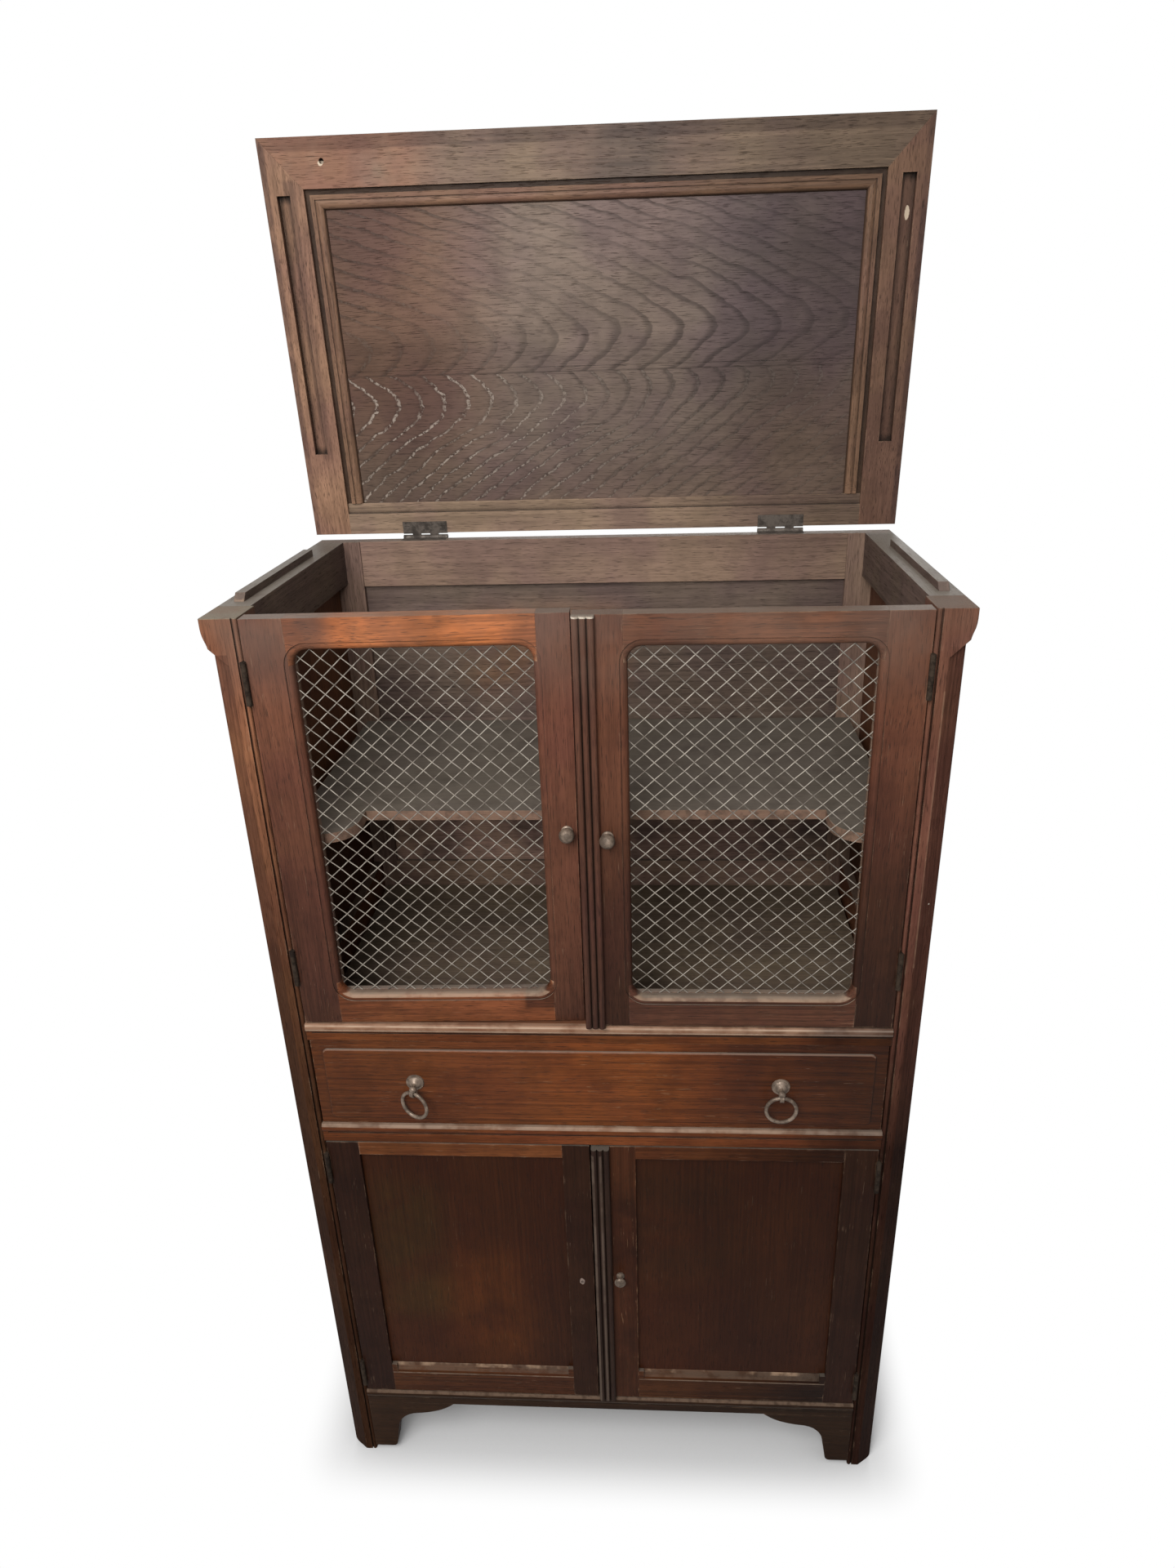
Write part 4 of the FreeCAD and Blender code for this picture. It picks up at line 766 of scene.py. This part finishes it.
# ---- which node wears which coat ----------------------------------------------------------------------
WEARERS = {
    "left_post": ["left_front_post"],
    "right_post": ["right_front_post"],
    "inner_x": ["back_rails", "cupboard_bottom", "drawer_back", "drawer_bottom"],
    "inner_y": ["side_top_rails", "lid_guide_strips", "bearers", "drawer_runners", "drawer_sides"],
    "inner_z": ["left_back_post", "right_back_post", "upper_left_door_mesh_beads",
                "upper_right_door_mesh_beads"],
    "inner_panel": ["back_panels"],
    "outer_y": ["side_lower_rails"],
    "outer_z": ["side_panels"],
    "sill": ["door_sill_rail", "drawer_sill_rail"],
    "bottom_rail": ["bottom_front_rail", "foot_brackets"],
    "floor": ["compartment_floor"],
    "shelf": ["shelf"],
    "lid_x": ["lid_rails"],
    "lid_z": ["lid_stiles"],
    "lid_boards": ["lid_boards"],
    "lid_moulding": ["lid_mouldings"],
    "left_stile": ["upper_left_door_stiles"],
    "left_rail": ["upper_left_door_rails"],
    "right_stile": ["upper_right_door_stiles"],
    "right_rail": ["upper_right_door_rails"],
    "astragal": ["upper_right_door_astragal"],
    "low_stile": ["lower_left_door_stiles", "lower_right_door_stiles"],
    "lower_rail": ["lower_left_door_rails", "lower_right_door_rails"],
    "panel": ["lower_left_door_panel", "lower_right_door_panel"],
    "low_astragal": ["lower_right_door_astragal"],
    "drawer": ["drawer_front"],
    "brass": ["upper_left_door_knob", "upper_right_door_knob", "lower_right_door_knob", "pull_rosettes",
              "left_pull_drop", "right_pull_drop", "left_pull_ring", "right_pull_ring"],
    "steel": ["upper_left_door_hinge_leaves", "upper_right_door_hinge_leaves",
              "lower_left_door_hinge_leaves", "lower_right_door_hinge_leaves", "post_hinge_leaves",
              "hinge_pins"],
    "lid_steel": ["lid_hinge_back_leaves", "lid_hinge_leaves", "lid_hinge_screws"],
    "wire": ["upper_left_door_mesh", "upper_right_door_mesh"],
}
dress = {wearer: coats[coat] for coat, wearers in WEARERS.items() for wearer in wearers}
for node_name, node in NODES.items():
    for material_slot in node.material_slots:
        material_slot.material = dress[node_name]


# ---- woven wire meshes --------------------------------------------------------------------------------
MESH_Y = FRONT_Y + 12.8 * MM
DIAMOND_W = 20.7 * MM
DIAMOND_H = 19.3 * MM
WIRE_RADIUS = 0.66 * MM
WIRE_SIDES = 6
WEAVE = 0.42 * MM                              # how far a wire goes over or under at a crossing
STEPS_PER_HALF_ROW = 4
SHEET_Z = (791.8 * MM, 1213.2 * MM)
SHEET_X = {
    "upper_left_door": (-297.2 * MM, -44.3 * MM),
    "upper_right_door": (40.3 * MM, 297.2 * MM),
}
SHEET_INSET = WIRE_RADIUS + 0.1 * MM           # the wires' middle lines end this far inside the sheet
ROWS = (SHEET_Z[1] - SHEET_Z[0]) / DIAMOND_H
LEFT_HINGE_AXIS = Vector((-340.75 * MM, FRONT_Y - 3.2 * MM, 0.0))
LEFT_DOOR_TURN = math.radians(1.6)             # the left door stands this far into its opening


def wire_tube(mesh, points):
    """A round tube along points, closed at both ends."""
    rings = []
    for index, point in enumerate(points):
        before = points[max(index - 1, 0)]
        after = points[min(index + 1, len(points) - 1)]
        forward = (after - before).normalized()
        side = forward.cross(Vector((0, 1, 0))).normalized()
        up = side.cross(forward)
        ring = []
        for k in range(WIRE_SIDES):
            turn = 2 * math.pi * k / WIRE_SIDES
            ring.append(mesh.verts.new(point + WIRE_RADIUS * (math.cos(turn) * side + math.sin(turn) * up)))
        rings.append(ring)
    for low, high in zip(rings, rings[1:]):
        for k in range(WIRE_SIDES):
            n = (k + 1) % WIRE_SIDES
            mesh.faces.new((low[k], low[n], high[n], high[k]))
    mesh.faces.new(list(reversed(rings[0])))
    mesh.faces.new(rings[-1])


def within(value, ends):
    return ends[0] + SHEET_INSET <= value <= ends[1] - SHEET_INSET


def wire_points(sheet_x, column, lean):
    """The points of one wire that lie on its sheet. It rises to the right (1) or to the left (-1)."""
    points = []
    for step in range(math.ceil(ROWS) * 2 * STEPS_PER_HALF_ROW + 1):
        half_rows = step / STEPS_PER_HALF_ROW
        x = sheet_x[0] + (column + lean * half_rows / 2) * DIAMOND_W
        z = SHEET_Z[0] + half_rows * DIAMOND_H / 2
        if within(x, sheet_x) and within(z, SHEET_Z):
            over = lean * math.cos(math.pi * half_rows)
            points.append(Vector((x, MESH_Y + WEAVE * over, z)))
    return points


def woven_mesh(door):
    """Two sets of diagonal wires that pass over and under each other at every crossing."""
    sheet_x = SHEET_X[door]
    columns = (sheet_x[1] - sheet_x[0]) / DIAMOND_W
    mesh = bmesh.new()
    for lean, first, last in ((1, -math.ceil(ROWS), math.ceil(columns)), (-1, 0, math.ceil(columns + ROWS))):
        for k in range(first, last + 1):
            points = wire_points(sheet_x, k + 0.5, lean)
            if len(points) > 2:
                wire_tube(mesh, points)
    data = bpy.data.meshes.new(door + "_woven_wire")
    mesh.to_mesh(data)
    mesh.free()
    piece = bpy.data.objects.new(door + "_woven_wire", data)
    bpy.context.collection.objects.link(piece)
    if door == "upper_left_door":
        turn = Matrix.Rotation(LEFT_DOOR_TURN, 4, "Z")
        data.transform(Matrix.Translation(LEFT_HINGE_AXIS) @ turn @ Matrix.Translation(-LEFT_HINGE_AXIS))
    for face in data.polygons:
        face.use_smooth = True
    data.materials.append(coats["wire"])
    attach(piece, door)
    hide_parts(door + "_mesh")


for door_name in SHEET_X:
    woven_mesh(door_name)


# ---- floor and world ----------------------------------------------------------------------------------
FLOOR_SIZE = 12.0
HALF_FOOTPRINT = (CASE_SIDE, 0.21, 0.0)
SHADOW_REACH = 0.085                           # the floor is plain white this far from the footprint
PAINTED_SHADOW_REACH = 0.30                             # painted shadow: the case darkens the floor from this near
FLOOR_SEEN = (0.765, 0.785, 0.815)
FLOOR_PAINTED_SHADOW = (0.350, 0.358, 0.372)
FLOOR_FOR_BOUNCE = (0.28, 0.27, 0.26)
FLOOR_LIFT = 0.05
SOFT_LIGHT = (1.0, 0.985, 0.965)
SOFT_STRENGTH = 0.30


def floor_material():
    """A pale floor that keeps the shadow near the object, adds a painted shadow where the case is near, and
    runs out to plain white for the camera.
    """
    t = MaterialGraph("pale_floor")
    seen = t.backdrop_rays()
    beyond = t.vector("SUBTRACT", t.vector("ABSOLUTE", t.place), HALF_FOOTPRINT)
    distance = t.vector("LENGTH", t.vector("MAXIMUM", beyond))
    blank = t.times(t.span(distance, 0.0, SHADOW_REACH), seen)
    # painted shadow: ambient occlusion darkens the floor under and near the case
    near = t.add("ShaderNodeAmbientOcclusion", samples=8)
    near.inputs["Distance"].default_value = PAINTED_SHADOW_REACH
    tone = t.mix(near.outputs["AO"], FLOOR_PAINTED_SHADOW, FLOOR_SEEN)
    paint = t.shader("ShaderNodeBsdfDiffuse", Color=t.mix(seen, FLOOR_FOR_BOUNCE, tone))
    lift = t.shader("ShaderNodeEmission", Color=WHITE, Strength=t.times(seen, FLOOR_LIFT))
    both = t.add("ShaderNodeAddShader")
    t.put(both.inputs[0], paint)
    t.put(both.inputs[1], lift)
    white = t.shader("ShaderNodeEmission", Color=WHITE, Strength=1.0)
    return t.surface(t.mix_shader(blank, both.outputs[0], white))


floor_mesh = bpy.data.meshes.new("floor")
floor_mesh.from_pydata([(x * FLOOR_SIZE, y * FLOOR_SIZE, 0) for x, y in ((-1, -1), (1, -1), (1, 1), (-1, 1))],
                       [], [(0, 1, 2, 3)])
floor_mesh.materials.append(floor_material())
floor = bpy.data.objects.new("floor", floor_mesh)
bpy.context.collection.objects.link(floor)

world = bpy.data.worlds.new("studio")
bpy.context.scene.world = world
world.use_nodes = True
sky = Graph(world.node_tree)
soft_sky = sky.shader("ShaderNodeBackground", Color=SOFT_LIGHT, Strength=SOFT_STRENGTH)
plain_sky = sky.shader("ShaderNodeBackground", Color=WHITE, Strength=1.0)
sky.put(sky.add("ShaderNodeOutputWorld").inputs["Surface"],
        sky.mix_shader(sky.backdrop_rays(), soft_sky, plain_sky))


# ---- lamps and camera ---------------------------------------------------------------------------------
LAMP_COLOUR = (1.0, 0.97, 0.93)


def lamp(name, place, target, size, power):
    data = bpy.data.lights.new(name, "AREA")
    data.shape = "RECTANGLE"
    data.size, data.size_y = size
    data.energy = power
    data.color = LAMP_COLOUR
    item = bpy.data.objects.new(name, data)
    bpy.context.collection.objects.link(item)
    item.location = place
    item.rotation_euler = (Vector(target) - Vector(place)).to_track_quat("-Z", "Y").to_euler()


# name, place, target, size in metres, power in watts
lamp("key", (-0.75, -1.75, 2.75), (0.0, -0.1, 1.05), (1.3, 1.0), 50.0)
lamp("fill", (-0.20, -1.75, 1.85), (0.0, 0.0, 1.0), (0.9, 0.6), 30.0)
lamp("top", (0.0, 0.3, 3.0), (0.0, 0.0, 0.5), (1.6, 1.2), 16.0)
lamp("behind", (0.2, 2.6, 1.9), (0.0, 0.2, 0.8), (1.6, 1.6), 20.0)

# The camera stands in front at 1.49 m, a little right of the middle, and looks down by about 24 degrees.
IMAGE_HEIGHT = 1920
SENSOR = 36.0
FOCAL_PIXELS = 1282.29
CENTRE_SHIFT = (9.643, 15.407)                 # pixels from the image's middle to the optical axis
CAMERA_PLACE = (0.07497, -1.20969, 1.49357)
CAMERA_TURN = (0.419803, 0.0598334, -0.00365115)    # radians about X, then Y, then Z
# Part axes to camera axes (right, down, forward) before the turns.
LEVEL_VIEW = Matrix(((1, 0, 0), (0, 0, -1), (0, 1, 0)))

turn_x, turn_y, turn_z = (Matrix.Rotation(angle, 3, axis) for angle, axis in zip(CAMERA_TURN, "XYZ"))
right, down, forward = turn_z @ turn_y @ turn_x @ LEVEL_VIEW
camera_data = bpy.data.cameras.new("camera")
camera_data.sensor_fit = "VERTICAL"
camera_data.sensor_height = SENSOR
camera_data.lens = FOCAL_PIXELS * SENSOR / IMAGE_HEIGHT
camera_data.shift_x = -CENTRE_SHIFT[0] / IMAGE_HEIGHT
camera_data.shift_y = CENTRE_SHIFT[1] / IMAGE_HEIGHT
camera_data.clip_start = 0.05
camera = bpy.data.objects.new("camera", camera_data)
bpy.context.collection.objects.link(camera)
camera.matrix_world = Matrix((
    *((right[i], -down[i], -forward[i], CAMERA_PLACE[i]) for i in range(3)),
    (0, 0, 0, 1),
))
bpy.context.scene.camera = camera
bpy.context.scene.view_settings.view_transform = "Standard"
